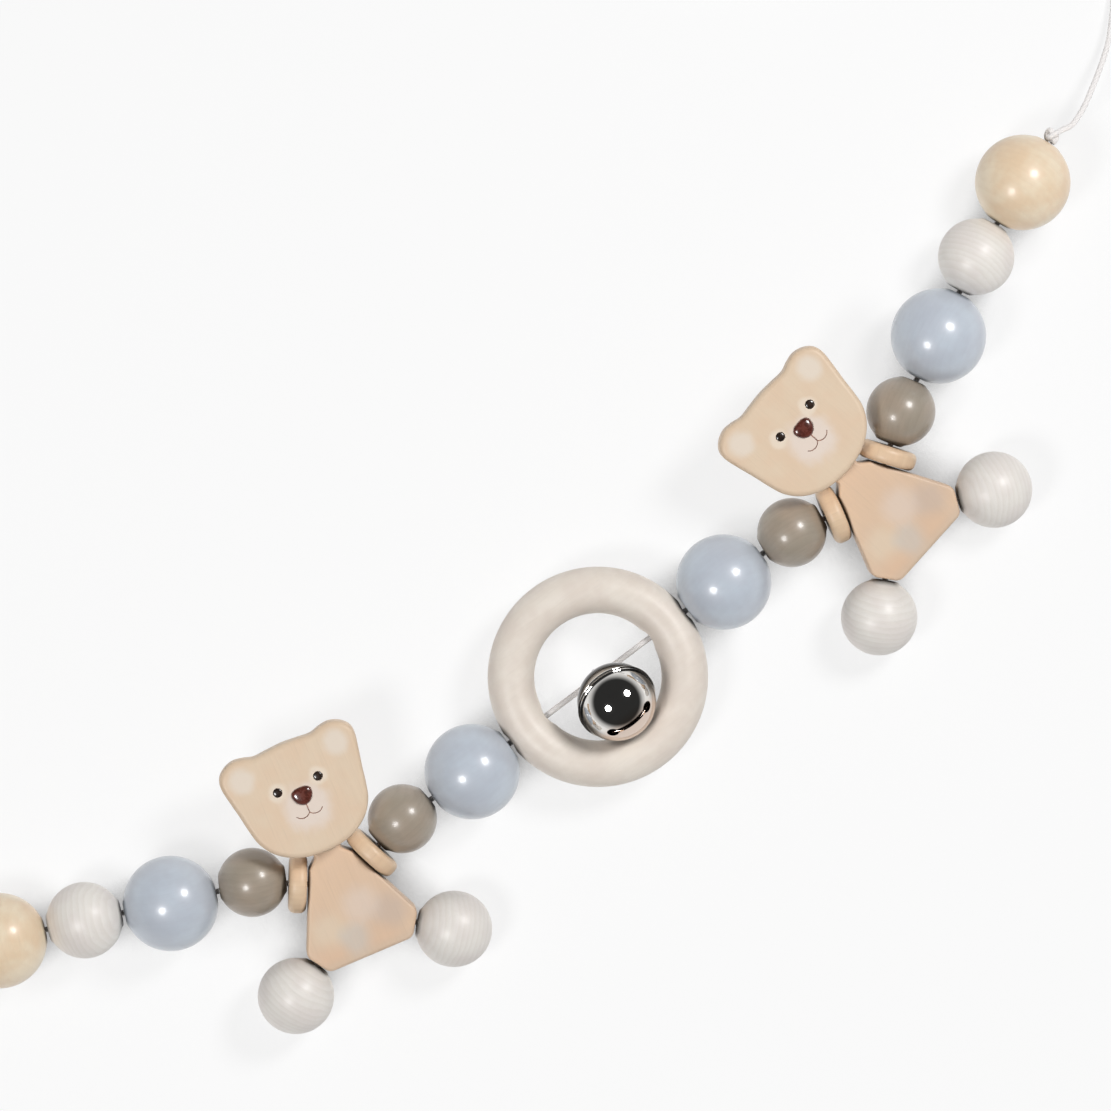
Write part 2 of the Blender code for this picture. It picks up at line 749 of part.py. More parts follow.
def make_clip(name, frame, parent):
    """A clip: two jaws on a pin, held shut by a spring under the tail."""
    clip_lower_jaw(f"{name}_clip_lower_jaw", frame, parent)
    clip_spring(f"{name}_clip_spring", frame, parent)
    pivot = frame @ Vector((clip_pivot_along, 0, clip_pivot_height))
    hinge_frame = frame_along(pivot, frame.to_3x3() @ Vector((0, -1, 0)))
    half = clip_width / 2 + clip_pin_head
    pin = [(0, -half), (clip_pin_d / 2, -half), (clip_pin_d / 2, half), (0, half)]
    piece(f"{name}_clip_pin", turned(pin, bead_steps), "steel", hinge_frame, parent)
    hinge = joint_empty(f"{name}_clip_open", hinge_frame, parent)
    clip_upper_jaw(f"{name}_clip_upper_jaw", frame, hinge)


def make_link(name, joint, axis, line, parent, diameter, finish, low_flat_r=bead_flat_r):
    """One link: the joint before it, its stretch of cord, and the bead that turns on it."""
    start, middle, end = line
    side = name.split("_")[0]
    empty = joint_empty(f"{side}_{joint}", frame_along(start, axis, right_way), parent)
    cord_piece(f"{name}_cord", line, frame_along(start, end - start), empty)
    place = frame_along(middle, end - start)
    bead(f"{name}_bead", diameter, finish, place, empty, low_flat_r)
    return empty


def chain_line(links, ring_middle):
    """The middles of one side's beads and bear, and the gates between them."""
    side = links["side"]
    blue_r, grey_r = blue_d / 2, grey_d / 2
    white_r, natural_r = white_d / 2, natural_d / 2
    blue_face = math.sqrt(blue_r**2 - (ring_side_flat_d / 2) ** 2)
    half_gap = bead_gap / 2
    bear_way = flat_direction(links["bear"])
    inner_arm_way = flat_direction(links["bear"] - side * shoulder_slant)
    outer_arm_way = flat_direction(links["bear"] + side * shoulder_slant)
    steps = [
        ("ring_gate", flat_direction(links["inner_blue"]), ring_outer_d / 2 + half_gap),
        ("inner_blue", flat_direction(links["inner_blue"]), half_gap + blue_face),
        ("inner_blue_gate", flat_direction(links["inner_grey"]), blue_r + half_gap),
        ("inner_grey", flat_direction(links["inner_grey"]), half_gap + grey_r),
        ("inner_arm_gate", inner_arm_way, grey_r + half_gap),
        ("inner_disc", inner_arm_way, half_gap + disc_reach),
        ("bear", bear_way, arm_reach),
        ("outer_disc", bear_way, arm_reach),
        ("outer_arm_gate", outer_arm_way, disc_reach + half_gap),
        ("outer_grey", outer_arm_way, half_gap + grey_r),
        ("outer_grey_gate", flat_direction(links["outer_blue"]), grey_r + half_gap),
        ("outer_blue", flat_direction(links["outer_blue"]), half_gap + blue_r),
        ("outer_blue_gate", flat_direction(links["white"]), blue_r + half_gap),
        ("white", flat_direction(links["white"]), half_gap + white_r),
        ("white_gate", flat_direction(links["natural"]), white_r + half_gap),
        ("natural", flat_direction(links["natural"]), half_gap + natural_r),
    ]
    at = {}
    place = ring_middle
    for name, way, distance in steps:
        place = place + way * distance
        at[name] = place
    return at


def make_side(name, links, ring_middle, route, clip_heading, parent):
    """One half of the chain, from the ring to its clip."""
    side = links["side"]
    at = chain_line(links, ring_middle)
    flip_line = at["outer_grey_gate"] - at["inner_blue_gate"]

    line = at["ring_gate"], at["inner_blue"], at["inner_blue_gate"]
    bead_name, flat = f"{name}_inner_blue", ring_side_flat_d / 2
    last = make_link(bead_name, "inner_blue_bend", up, line, parent, blue_d, "blue", flat)
    line = at["inner_blue_gate"], at["inner_grey"], at["inner_arm_gate"]
    last = make_link(f"{name}_inner_grey", "bear_flip", flip_line, line, last, grey_d, "grey")

    heading = links["bear"] if side > 0 else links["bear"] - math.pi
    frame = frame_level(at["bear"], heading) @ Matrix.Rotation(bear_lean, 4, "X")
    gates = {
        side: {"place": at["outer_arm_gate"], "outer": True},
        -side: {"place": at["inner_arm_gate"], "outer": False},
    }
    place = frame_along(at["inner_arm_gate"], -up, right_way)
    last = joint_empty(f"{name}_bear_bend", place, last)
    make_bear(name, frame, gates, last)

    line = at["outer_arm_gate"], at["outer_grey"], at["outer_grey_gate"]
    last = make_link(f"{name}_outer_grey", "outer_grey_bend", up, line, last, grey_d, "grey")
    line = at["outer_grey_gate"], at["outer_blue"], at["outer_blue_gate"]
    last = make_link(f"{name}_outer_blue", "flip_return", flip_line, line, last, blue_d, "blue")
    line = at["outer_blue_gate"], at["white"], at["white_gate"]
    last = make_link(f"{name}_white", "white_bend", -up, line, last, white_d, "white")

    way = flat_direction(links["natural"])
    place = frame_along(at["white_gate"], up, right_way)
    last = joint_empty(f"{name}_natural_bend", place, last)
    natural = at["natural"]
    bead(f"{name}_natural_bead", natural_d, "natural", frame_along(natural, way), last)
    knot = knotted_cord(f"{name}_natural_cord", at["white_gate"], way, natural, last)

    swing = joint_empty(f"{name}_end_swing", frame_along(knot, up, right_way), last)
    points = evenly(smooth_through(route, cord_route_steps), cord_d * cord_span_in_diameters)
    for point in points:
        point.z = max(point.z, lowest_cord)
    print(f"{name}_end_cord: length {length_of(points) * 1000:.1f} mm, {len(points)} points")
    tube(f"{name}_end_cord", points, cord_d, "cord", Matrix.Translation(knot), swing)
    tail = knot + points[-1] + flat_direction(clip_heading) * fit_gap
    tail.z = 0
    make_clip(name, frame_level(tail, clip_heading), swing)


def middle_of_footprint():
    """The middle of the toy seen from above, without its end cords and clips."""
    graph = bpy.context.evaluated_depsgraph_get()
    places = []
    for obj in bpy.data.objects:
        if obj.type == "EMPTY" or obj.hide_render:
            continue
        if "clip" in obj.name or "end_cord" in obj.name:
            continue
        found = obj.evaluated_get(graph)
        places += [obj.matrix_world @ vertex.co for vertex in found.to_mesh().vertices]
        found.to_mesh_clear()
    low = Vector([min(place[axis] for place in places) for axis in range(3)])
    high = Vector([max(place[axis] for place in places) for axis in range(3)])
    size = (high - low) * 1000
    print(f"toy without end cords: {size.x:.1f} by {size.y:.1f} by {size.z:.1f} mm")
    print(f"lowest point {low.z * 1000:.4f} mm")
    return Vector(((low.x + high.x) / 2, (low.y + high.y) / 2, 0))


def main():
    for obj in list(bpy.data.objects):
        bpy.data.objects.remove(obj, do_unlink=True)
    ring_middle = Vector((0, 0, cord_height))
    ring_frame = frame_level(ring_middle, ring_axis)
    root = joint_empty("toy", ring_frame, None)
    make_ring(ring_frame, root)
    make_bell(ring_middle, root)

    way = flat_direction(ring_axis)
    cord_turn = joint_empty("ring_turn", frame_along(ring_middle, way), root)
    right, left = chain_line(right_links, ring_middle), chain_line(left_links, ring_middle)
    route = [left["ring_gate"], ring_middle, right["ring_gate"]]
    cord_piece("ring_cord", route, frame_along(ring_middle, way), cord_turn)
    make_side("right", right_links, ring_middle, right_end_route, right_clip_heading, cord_turn)
    make_side("left", left_links, ring_middle, left_end_route, left_clip_heading, cord_turn)

    bpy.context.view_layer.update()
    root.matrix_basis = Matrix.Translation(-middle_of_footprint()) @ ring_frame
    bpy.context.view_layer.update()


main()
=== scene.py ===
"""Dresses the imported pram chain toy: turned and lacquered wood, two painted bears, a plated bell,
braided elastic and moulded clips, with the studio they are shown in. Metres, +Z up."""

import json
import math

import bpy
from bpy.props import FloatProperty, FloatVectorProperty, IntProperty, PointerProperty
from mathutils import Matrix, Vector


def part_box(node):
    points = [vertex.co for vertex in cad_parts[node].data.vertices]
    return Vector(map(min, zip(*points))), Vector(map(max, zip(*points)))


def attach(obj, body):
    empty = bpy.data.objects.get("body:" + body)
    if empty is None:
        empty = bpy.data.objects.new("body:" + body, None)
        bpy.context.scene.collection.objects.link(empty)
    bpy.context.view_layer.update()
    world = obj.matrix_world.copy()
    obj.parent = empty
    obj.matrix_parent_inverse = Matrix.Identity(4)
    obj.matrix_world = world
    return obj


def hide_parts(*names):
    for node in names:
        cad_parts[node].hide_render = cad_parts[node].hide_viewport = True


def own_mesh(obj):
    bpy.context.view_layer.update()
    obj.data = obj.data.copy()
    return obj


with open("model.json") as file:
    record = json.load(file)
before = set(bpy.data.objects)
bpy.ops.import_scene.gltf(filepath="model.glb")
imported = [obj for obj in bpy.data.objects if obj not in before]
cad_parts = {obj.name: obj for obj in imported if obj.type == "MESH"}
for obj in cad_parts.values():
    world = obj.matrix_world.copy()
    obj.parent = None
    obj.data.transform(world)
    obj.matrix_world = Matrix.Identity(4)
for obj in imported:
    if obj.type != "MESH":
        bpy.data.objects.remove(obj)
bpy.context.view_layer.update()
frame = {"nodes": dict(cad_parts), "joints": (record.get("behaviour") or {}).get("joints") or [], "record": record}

bl_info = {
    "name": "Pram chain toy",
    "version": (1, 0, 0),
    "blender": (4, 5, 0),
    "location": "View3D > Sidebar > Pram chain",
    "description": "Wooden bears, beads, ring and bell on an elastic cord with two clips",
    "category": "Add Mesh",
}

joints = {joint["name"]: joint for joint in frame["joints"]}
body_of = {
    node: body
    for body, nodes in frame["record"]["behaviour"]["bodies"].items()
    for node in nodes
}
up = Vector((0, 0, 1))

# Radius of the flat that seats an inner blue bead on the ring in the solids. The depth of a
# foot's bore is taken from such a flat too
seat_flat = 0.003

# Room between neighbouring beads, and the tilts that their faces leave room for at the
# chain's bends and at the bears' flips
bead_gap = 0.00035
bend_tilt = math.radians(18)
flip_tilt = math.radians(24)

# How far a bead's eased face, and its run into the round skin, reach out from the bore
face_reach = 0.0008
face_join = 0.0016

# Depth of the blind bore in a foot
foot_depth = 0.009

# The free end cords, as offsets from the middle of their knot, the same as in the solids
end_routes = {
    "right": [
        (0.0019, 0.0008, 0), (0.0040, 0.0019, -0.0001), (0.0064, 0.0055, -0.0009),
        (0.0084, 0.0100, -0.0026), (0.0103, 0.0148, -0.0046), (0.0118, 0.0196, -0.0064),
        (0.0126, 0.0249, -0.0078), (0.0129, 0.0290, -0.0086), (0.0126, 0.0328, -0.0091),
        (0.0110, 0.0368, -0.0093), (0.0076, 0.0401, -0.0093), (0.0030, 0.0420, -0.0093),
        (-0.0025, 0.0425, -0.0093), (-0.0110, 0.0424, -0.0093), (-0.0200, 0.0426, -0.0093),
        (-0.0300, 0.0424, -0.0093), (-0.0400, 0.0425, -0.0092), (-0.0450, 0.0425, -0.0087),
        (-0.0480, 0.0425, -0.0087),
    ],
    "left": [
        (-0.0020, -0.0005, 0), (-0.0046, -0.0010, -0.0002), (-0.0088, -0.0008, -0.0014),
        (-0.0124, 0.0010, -0.0034), (-0.0150, 0.0043, -0.0056), (-0.0162, 0.0088, -0.0074),
        (-0.0165, 0.0136, -0.0086), (-0.0164, 0.0190, -0.0092), (-0.0163, 0.0270, -0.0093),
        (-0.0165, 0.0360, -0.0093), (-0.0163, 0.0460, -0.0093), (-0.0165, 0.0560, -0.0093),
        (-0.0164, 0.0660, -0.0093), (-0.0164, 0.0760, -0.0093), (-0.0164, 0.0830, -0.0092),
        (-0.0164, 0.0860, -0.0087), (-0.0164, 0.0880, -0.0087),
    ],
}

# Height of the knots' middles over the surface, where the beads lie on it
knot_height = 0.010

# Each turned bead: its name after the side, its finish, the radius of the flat on its low end
# where it has one, and the tilts that its low and high ends leave room for
beads = [
    ("inner_blue_bead", "blue", 0.0036, (bend_tilt, flip_tilt)),
    ("inner_grey_bead", "grey", 0, (flip_tilt, bend_tilt)),
    ("outer_grey_bead", "grey", 0, (bend_tilt, flip_tilt)),
    ("outer_blue_bead", "blue", 0, (flip_tilt, bend_tilt)),
    ("white_bead", "white", 0, (bend_tilt, bend_tilt)),
    ("natural_bead", "natural", 0, (bend_tilt, bend_tilt)),
]

# Half of the head's outline, chin to crown, as shares of its half width and height
head_shares = [
    (0, 0), (0.30, 0.020), (0.52, 0.074), (0.70, 0.160), (0.82, 0.275), (0.875, 0.400),
    (0.915, 0.540), (0.965, 0.690), (1.000, 0.820), (0.975, 0.905), (0.87, 0.968),
    (0.72, 1.000), (0.57, 0.990), (0.42, 0.966), (0.22, 0.974), (0, 0.982),
]

# Half of the body's outline from its bottom corner to its neck: across, up, and corner radius
body_corners = [
    (0.00944, -0.0195, 0.0022),
    (0.01263, -0.01459, 0.0022),
    (0.00507, 0.0020, 0.0007),
    (0.0030, 0.0037, 0.0007),
    (0.0030, 0.0102, 0.0012),
]

# The bores on one side of a body: a point on each, its way out, and its angle off level
arm_point, arm_way, arm_slant = (0.0084, 0), (0.91, 0.415), math.radians(24.5)
leg_point, leg_way, leg_slant = (0.0110, -0.0171), (0.8387, -0.5446), math.radians(33)

# A head's chin above the arms, and its eyes above the chin and from the middle
chin_height = 0.0049
eye_rise = 0.0153
eye_apart = 0.00455

# How far each face is painted off its head's middle line
face_shift = {"right": 0.0006, "left": 0.0}

# Half of the nose, top to bottom, in shares of its half width, and the height of its middle
nose_shares = [
    (0, 1.56), (0.52, 1.52), (0.88, 1.30), (1.0, 0.92), (0.86, 0.42), (0.48, 0.0), (0, -0.16),
]
nose_rise = 0.0111

# The line from the nose to the mouth, and half of the smile, above the chin
lip_line = [(0, 0.0112), (0.00003, 0.0099), (0, 0.0090)]
smile_line = [(0, 0.0090), (0.0006, 0.0085), (0.0015, 0.0083), (0.0023, 0.0085), (0.0029, 0.0090)]

# A drop of paint from its rim to near its tip: share of its width, share of its height
drop_levels = [(1, 0), (0.97, 0.3), (0.9, 0.55), (0.75, 0.8), (0.5, 0.94), (0.25, 0.985)]

# Soft printed spots on a body: across, up, radius, colour
body_spots = [
    (-0.0062, -0.0118, 0.0036, (0.770, 0.660, 0.510)),
    (-0.0016, -0.0150, 0.0033, (0.560, 0.555, 0.530)),
    (0.0068, -0.0124, 0.0035, (0.540, 0.440, 0.380)),
    (0.0020, -0.0088, 0.0036, (0.770, 0.660, 0.580)),
    (0.0036, -0.0170, 0.0032, (0.740, 0.500, 0.330)),
    (-0.0074, -0.0170, 0.0032, (0.730, 0.490, 0.330)),
]

# Soft printed spots on a head: across, up from the chin, radius, colour, strength, softness
ear_look = (0.0026, (0.810, 0.715, 0.612), 0.8, 0.4)
eye_look = (0.0019, (0.840, 0.715, 0.580), 0.9, 0.3)
head_spots = [
    (0, 0.0102, 0.0050, (0.810, 0.700, 0.622), 0.85, 0.35),
    (-0.0106, 0.0204, *ear_look),
    (-eye_apart, eye_rise, *eye_look),
    (0.0106, 0.0204, *ear_look),
    (eye_apart, eye_rise, *eye_look),
]

# A clip's pin from its tail along the surface and up, and the half lengths of pin and pin hole
clip_pivot = (0.018, 0, 0.0068)
pin_half = 0.0072
pin_hole_half = 0.009


def colour_setting(name, description, default):
    return FloatVectorProperty(
        name=name, description=description, default=default, subtype="COLOR", min=0, max=1
    )


def length_setting(name, description, default, low, high):
    return FloatProperty(
        name=name, description=description, default=default, min=low, max=high, unit="LENGTH"
    )


def power_setting(name, description, default):
    return FloatProperty(
        name=name, description=description, default=default, min=0, max=50, unit="POWER"
    )


def brightness_setting(name, description, default):
    return FloatProperty(name=name, description=description, default=default, min=0, max=2)


class ChainColours(bpy.types.PropertyGroup):
    """Base colours of the finishes."""

    natural: colour_setting(
        "Natural bead", "Clear lacquered wood of the end beads", (0.890, 0.755, 0.565)
    )
    white: colour_setting(
        "White bead", "White-stained wood of the white beads and the feet", (0.875, 0.840, 0.790)
    )
    blue: colour_setting("Blue bead", "Pale blue lacquer", (0.575, 0.635, 0.710))
    grey: colour_setting("Grey bead", "Warm grey lacquer", (0.371, 0.320, 0.256))
    ring: colour_setting("Grab ring", "Pale waxed wood of the ring", (0.865, 0.790, 0.705))
    head: colour_setting("Bear's head", "Stained wood of the heads", (0.775, 0.620, 0.458))
    body: colour_setting("Bear's body", "Stained wood of the bodies", (0.754, 0.546, 0.378))
    arm: colour_setting(
        "Bear's arms", "Stained wood of the arm discs and the neck dowels", (0.800, 0.570, 0.380)
    )
    cord: colour_setting("Elastic", "Braided sheath of the elastic cord", (0.890, 0.860, 0.845))
    bell: colour_setting("Bell", "Bright nickel plating", (0.80, 0.78, 0.75))
    steel: colour_setting("Steel", "Wire eye, pellet, pins and springs", (0.55, 0.55, 0.56))
    plastic: colour_setting("Clip", "Moulded plastic of the clips", (0.80, 0.80, 0.785))
    eye: colour_setting("Eye paint", "Dark paint of the eyes", (0.022, 0.012, 0.008))
    nose: colour_setting("Nose paint", "Red-brown paint of the noses", (0.085, 0.021, 0.014))
    mouth: colour_setting("Mouth paint", "Thin brown paint of the mouths", (0.240, 0.120, 0.085))


class ChainSizes(bpy.types.PropertyGroup):
    """Sizes of the forms that the solids leave plain."""

    bore: length_setting("Bore", "Diameter of the bores", 0.0036, 0.002, 0.005)
    mouth: length_setting(
        "Mouth rounding", "Radius of the rounding at each bore's mouth", 0.0003, 0.0001, 0.001
    )
    cord: length_setting("Cord", "Diameter of the elastic cord", 0.0012, 0.001, 0.003)
    braid_lift: length_setting("Braid", "Height of the braid's strands", 0.00008, 0, 0.0003)
    braid_pitch: length_setting(
        "Braid pitch", "Length of one strand's crossing along the cord", 0.0010, 0.0005, 0.003
    )
    head_edge: length_setting(
        "Head rounding", "Radius of the rounded rims of the heads", 0.0012, 0.0003, 0.002
    )
    body_edge: length_setting(
        "Body rounding", "Radius of the rounded rims of the bodies", 0.0007, 0.0003, 0.002
    )
    eye: length_setting("Eye", "Diameter of a bear's eye", 0.0020, 0.001, 0.004)
    nose: length_setting("Nose", "Width of a bear's nose", 0.0045, 0.002, 0.008)
    mouth_line: length_setting(
        "Mouth line", "Width of the painted mouth", 0.00036, 0.0001, 0.001
    )
    round_steps: IntProperty(
        name="Round steps",
        description="Steps round each turned piece",
        default=72,
        min=24,
        max=128,
    )


class ChainStudio(bpy.types.PropertyGroup):
    """The studio's light."""

    key: power_setting("Key light", "Power of the soft light at the upper right", 5.0)
    fill: power_setting("Fill light", "Power of the soft light at the lower left", 3.95)
    ceiling: brightness_setting("Ceiling", "Brightness of the dim ceiling", 0.03)
    walls: brightness_setting("Walls", "Brightness of the pale walls", 0.74)


def sizes():
    return bpy.context.scene.chain_sizes


# Materials


def add_node(tree, kind, inputs=None, **settings):
    """Adds a node. Inputs maps a socket to a value, or to the output that feeds it."""
    made = tree.nodes.new(kind)
    for name, value in settings.items():
        setattr(made, name, value)
    for socket, value in (inputs or {}).items():
        if isinstance(value, bpy.types.NodeSocket):
            tree.links.new(value, made.inputs[socket])
        else:
            made.inputs[socket].default_value = value
    return made


def maths(tree, operation, first, second=0.0, third=0.0):
    inputs = {0: first, 1: second, 2: third}
    return add_node(tree, "ShaderNodeMath", inputs, operation=operation).outputs[0]


def vectors(tree, operation, first, second=(0, 0, 0)):
    made = add_node(tree, "ShaderNodeVectorMath", {0: first, 1: second}, operation=operation)
    return made.outputs["Value" if operation in ("LENGTH", "DISTANCE", "DOT_PRODUCT") else "Vector"]


def stretched(tree, place, by):
    return vectors(tree, "MULTIPLY", place, by)


def noise(tree, place, scale, detail=2.0, roughness=0.5):
    inputs = {"Vector": place, "Scale": scale, "Detail": detail, "Roughness": roughness}
    return add_node(tree, "ShaderNodeTexNoise", inputs).outputs["Fac"]


def ranged(tree, value, low, high, to_low=0.0, to_high=1.0):
    inputs = {"Value": value, 1: low, 2: high, 3: to_low, 4: to_high}
    made = add_node(tree, "ShaderNodeMapRange", inputs, interpolation_type="SMOOTHSTEP")
    return made.outputs[0]


def mixed(tree, share, first, second):
    inputs = {0: share, 6: first, 7: second}
    return add_node(tree, "ShaderNodeMix", inputs, data_type="RGBA").outputs[2]


def creases(tree, distance, samples):
    """Near 0 where surfaces close in on each other, and 1 in the open."""
    made = add_node(tree, "ShaderNodeAmbientOcclusion", {"Distance": distance}, samples=samples)
    return made.outputs["AO"]


def shade(colour, by):
    """A colour made darker or lighter, as a node takes it."""
    return (*(min(1, part * by) for part in colour[:3]), 1)


def new_material(name, shader_values):
    """A material, its nodes, its shader, and the place on the piece for its textures."""
    material = bpy.data.materials.new(name)
    material.use_nodes = True
    tree = material.node_tree
    shader = tree.nodes["Principled BSDF"]
    for socket, value in shader_values.items():
        shader.inputs[socket].default_value = value
    return material, tree, shader, add_node(tree, "ShaderNodeTexCoord").outputs["Object"]


def dress(tree, shader, tone, height, strength, depth, rough=None):
    """Gives a shader its colour, its bump and, where it varies, its roughness."""
    inputs = {"Height": height, "Strength": strength, "Distance": depth}
    bump = add_node(tree, "ShaderNodeBump", inputs)
    tree.links.new(tone, shader.inputs["Base Color"])
    tree.links.new(bump.outputs[0], shader.inputs["Normal"])
    if rough is not None:
        tree.links.new(rough, shader.inputs["Roughness"])


def wood(name, colour, look, marks=None):
    """Wood with growth rings, fibres and pores along its own Z, under stain and lacquer.

    The look holds grain (how far the rings show), fibre, spacing, turn (which way the
    grain runs), tint, late (the dark part of each ring), roughness, coat, bump, and how far
    the painted shade reaches into the creases. Marks paints on top of the wood. Painted
    shade darkens the creases between touching pieces.
    """
    values = {
        "Roughness": look["roughness"],
        "Coat Weight": look["coat"],
        "Coat Roughness": look["coat_roughness"],
        "Specular IOR Level": 0.5,
    }
    material, tree, shader, place = new_material(name, values)

    # Each piece is cut from another part of the trunk
    luck = add_node(tree, "ShaderNodeObjectInfo").outputs["Random"]
    shift = add_node(tree, "ShaderNodeCombineXYZ")
    for axis, reach in enumerate((0.011, -0.007, 0.9)):
        tree.links.new(maths(tree, "MULTIPLY", luck, reach), shift.inputs[axis])
    turn = {"Vector": place, "Rotation": look.get("turn", (0, 0, 0)), "Location": (0.006, 0.055, 0)}
    grain_place = add_node(tree, "ShaderNodeMapping", turn).outputs[0]
    grain_place = vectors(tree, "ADD", grain_place, shift.outputs[0])

    # Each growth ring rises slowly to its late wood and falls at once to the next
    wander = noise(tree, stretched(tree, grain_place, (1, 1, 0.12)), 160.0)
    radius = vectors(tree, "LENGTH", stretched(tree, grain_place, (1, 1, 0)))
    rings = maths(tree, "MULTIPLY_ADD", radius, 1 / look["spacing"], 0)
    season = maths(tree, "FRACT", maths(tree, "MULTIPLY_ADD", wander, 2.2, rings))
    fall = ranged(tree, season, 0.92, 1.0, 1.0, 0.0)
    season = maths(tree, "MULTIPLY", ranged(tree, season, 0.15, 0.9), fall)

    fibre = noise(tree, stretched(tree, grain_place, (1, 1, 0.045)), 2400.0, 3.0, 0.6)
    pore = noise(tree, stretched(tree, grain_place, (1, 1, 0.03)), 4200.0, 1.0)
    pore = ranged(tree, pore, 0.60, 0.72)
    cloud = noise(tree, place, 110.0, 3.0, 0.6)

    tone = mixed(tree, ranged(tree, cloud, 0.35, 0.65), shade(colour, 1), shade(look["tint"], 1))
    late = look.get("late", Vector(colour) * 0.75)
    tone = mixed(tree, maths(tree, "MULTIPLY", season, look["grain"]), tone, shade(late, 1))
    streak = maths(tree, "MULTIPLY", ranged(tree, fibre, 0.3, 0.7), look["fibre"])
    tone = mixed(tree, streak, tone, shade(colour, 0.72))
    speck = maths(tree, "MULTIPLY", pore, look["fibre"] * 0.9)
    tone = mixed(tree, speck, tone, shade(colour, 0.55))
    if marks:
        tone = marks(tree, place, tone)
    # Painted shade: the wood turns darker where surfaces close in on each other, in the creases between touching
    # pieces
    crease_shade = creases(tree, look.get("crease_shade", 0.0018), 8)
    crease_shade = ranged(tree, crease_shade, 0.35, 0.88, 0.88, 0.0)
    tone = mixed(tree, crease_shade, tone, shade(colour, 0.22))

    height = maths(tree, "MULTIPLY_ADD", season, -0.35, fibre)
    height = maths(tree, "MULTIPLY_ADD", pore, -0.6, height)
    rough = maths(tree, "MULTIPLY_ADD", fibre, 0.14, look["roughness"] - 0.07)
    dress(tree, shader, tone, height, look["bump"], 0.00004, rough)
    return material


def soft_spot(tree, place, tone, middle, radius, colour, share, soft):
    """Lays a round soft-edged spot of colour over a tone. The edge wavers a little."""
    away = vectors(tree, "DISTANCE", stretched(tree, place, (1, 1, 0)), (*middle, 0))
    waver = maths(tree, "MULTIPLY_ADD", noise(tree, place, 420.0), radius * 0.5, -radius * 0.25)
    away = maths(tree, "ADD", away, waver)
    mask = ranged(tree, away, radius * (1 - soft), radius * (1 + soft), share, 0.0)
    return mixed(tree, mask, tone, (*colour, 1))


def body_marks(tree, place, tone):
    """Soft spots, and painted shade that makes the body greyer and darker along the bottom."""
    for across, rise, radius, colour in body_spots:
        tone = soft_spot(tree, place, tone, (across, rise), radius, colour, 0.5, 0.6)
    rise = add_node(tree, "ShaderNodeSeparateXYZ", {0: place}).outputs["Y"]
    # Painted shade: greyer and darker towards the rounded bottom edge
    bottom_shade = ranged(tree, rise, -0.0196, -0.0165, 0.45, 0.0)
    return mixed(tree, bottom_shade, tone, (0.580, 0.470, 0.370, 1))


def head_marks(tree, place, tone):
    """Pale muzzle and inner ears, lighter rims round the eyes, and a warmer border."""
    middle = (0, chin_height + 0.0130, 0)
    away = vectors(tree, "DISTANCE", stretched(tree, place, (1, 1, 0)), middle)
    border = ranged(tree, away, 0.0100, 0.0150, 0.0, 0.4)
    tone = mixed(tree, border, tone, (0.735, 0.540, 0.375, 1))
    for across, rise, radius, colour, share, soft in head_spots:
        spot = (across, chin_height + rise)
        tone = soft_spot(tree, place, tone, spot, radius, colour, share, soft)
    return tone


def bell_reflections(tree, place, tone):
    """Painted reflections: a near-black band round the sides that face away from the ring, and a tan reflection of
    the ring's wood toward it.
    """
    shell_radius = 0.0083
    upper = bell_frame().to_3x3().inverted() @ up
    outer = (Vector((0, 0, 1)) - upper * upper.z).normalized()
    level = vectors(tree, "DOT_PRODUCT", place, upper / shell_radius)
    toward = vectors(tree, "DOT_PRODUCT", place, outer / shell_radius)
    # Painted dark reflection: a near-black band round the bell's sides, away from the ring
    side = ranged(tree, level, 0.38, 0.62, 0.97, 0.0)
    clear = ranged(tree, toward, 0.15, 0.60, 1.0, 0.0)
    clear = maths(tree, "MULTIPLY", clear, ranged(tree, level, -0.30, -0.05))
    # Painted reflection of the ring's wood, tan, on the side toward the ring
    ring_reflection = ranged(tree, toward, 0.30, 0.62, 0.0, 0.8)
    tone = mixed(tree, ring_reflection, tone, (0.640, 0.500, 0.410, 1))
    return mixed(tree, maths(tree, "MULTIPLY", side, clear), tone, (0.020, 0.017, 0.015, 1))


def plated(name, colour, roughness, marks=None):
    """Bright plating with a faint satin haze and fine rubbing marks."""
    values = {"Base Color": (*colour, 1), "Metallic": 1.0, "Roughness": roughness}
    material, tree, shader, place = new_material(name, values)
    haze = noise(tree, place, 350.0, 4.0, 0.65)
    rub = noise(tree, stretched(tree, place, (1, 0.2, 1)), 5200.0, 2.0)
    tone = mixed(tree, ranged(tree, haze, 0.45, 0.75, 0, 0.35), shade(colour, 1), shade(colour, 0.86))
    if marks:
        tone = marks(tree, place, tone)
    rough = maths(tree, "MULTIPLY_ADD", haze, roughness * 0.9, roughness * 0.55)
    dress(tree, shader, tone, rub, 0.06, 0.00001, rough)
    return material


def elastic(name, colour):
    """Braided sheath: matt thread, with painted shade in the grooves between strands and painted light on their
    crests.
    """
    values = {"Roughness": 0.85, "Sheen Weight": 0.25, "Sheen Roughness": 0.5}
    material, tree, shader, place = new_material(name, values)
    strand = add_node(tree, "ShaderNodeAttribute", attribute_name="strand").outputs["Fac"]
    thread = noise(tree, place, 9000.0, 3.0, 0.7)
    # Painted shade in the grooves between strands, painted light on the strands' crests
    tone = mixed(tree, ranged(tree, strand, 0.1, 0.8), shade(colour, 0.84), shade(colour, 1.06))
    tone = mixed(tree, ranged(tree, thread, 0.35, 0.7, 0, 0.20), tone, shade(colour, 0.88))
    dress(tree, shader, tone, thread, 0.5, 0.00003)
    return material


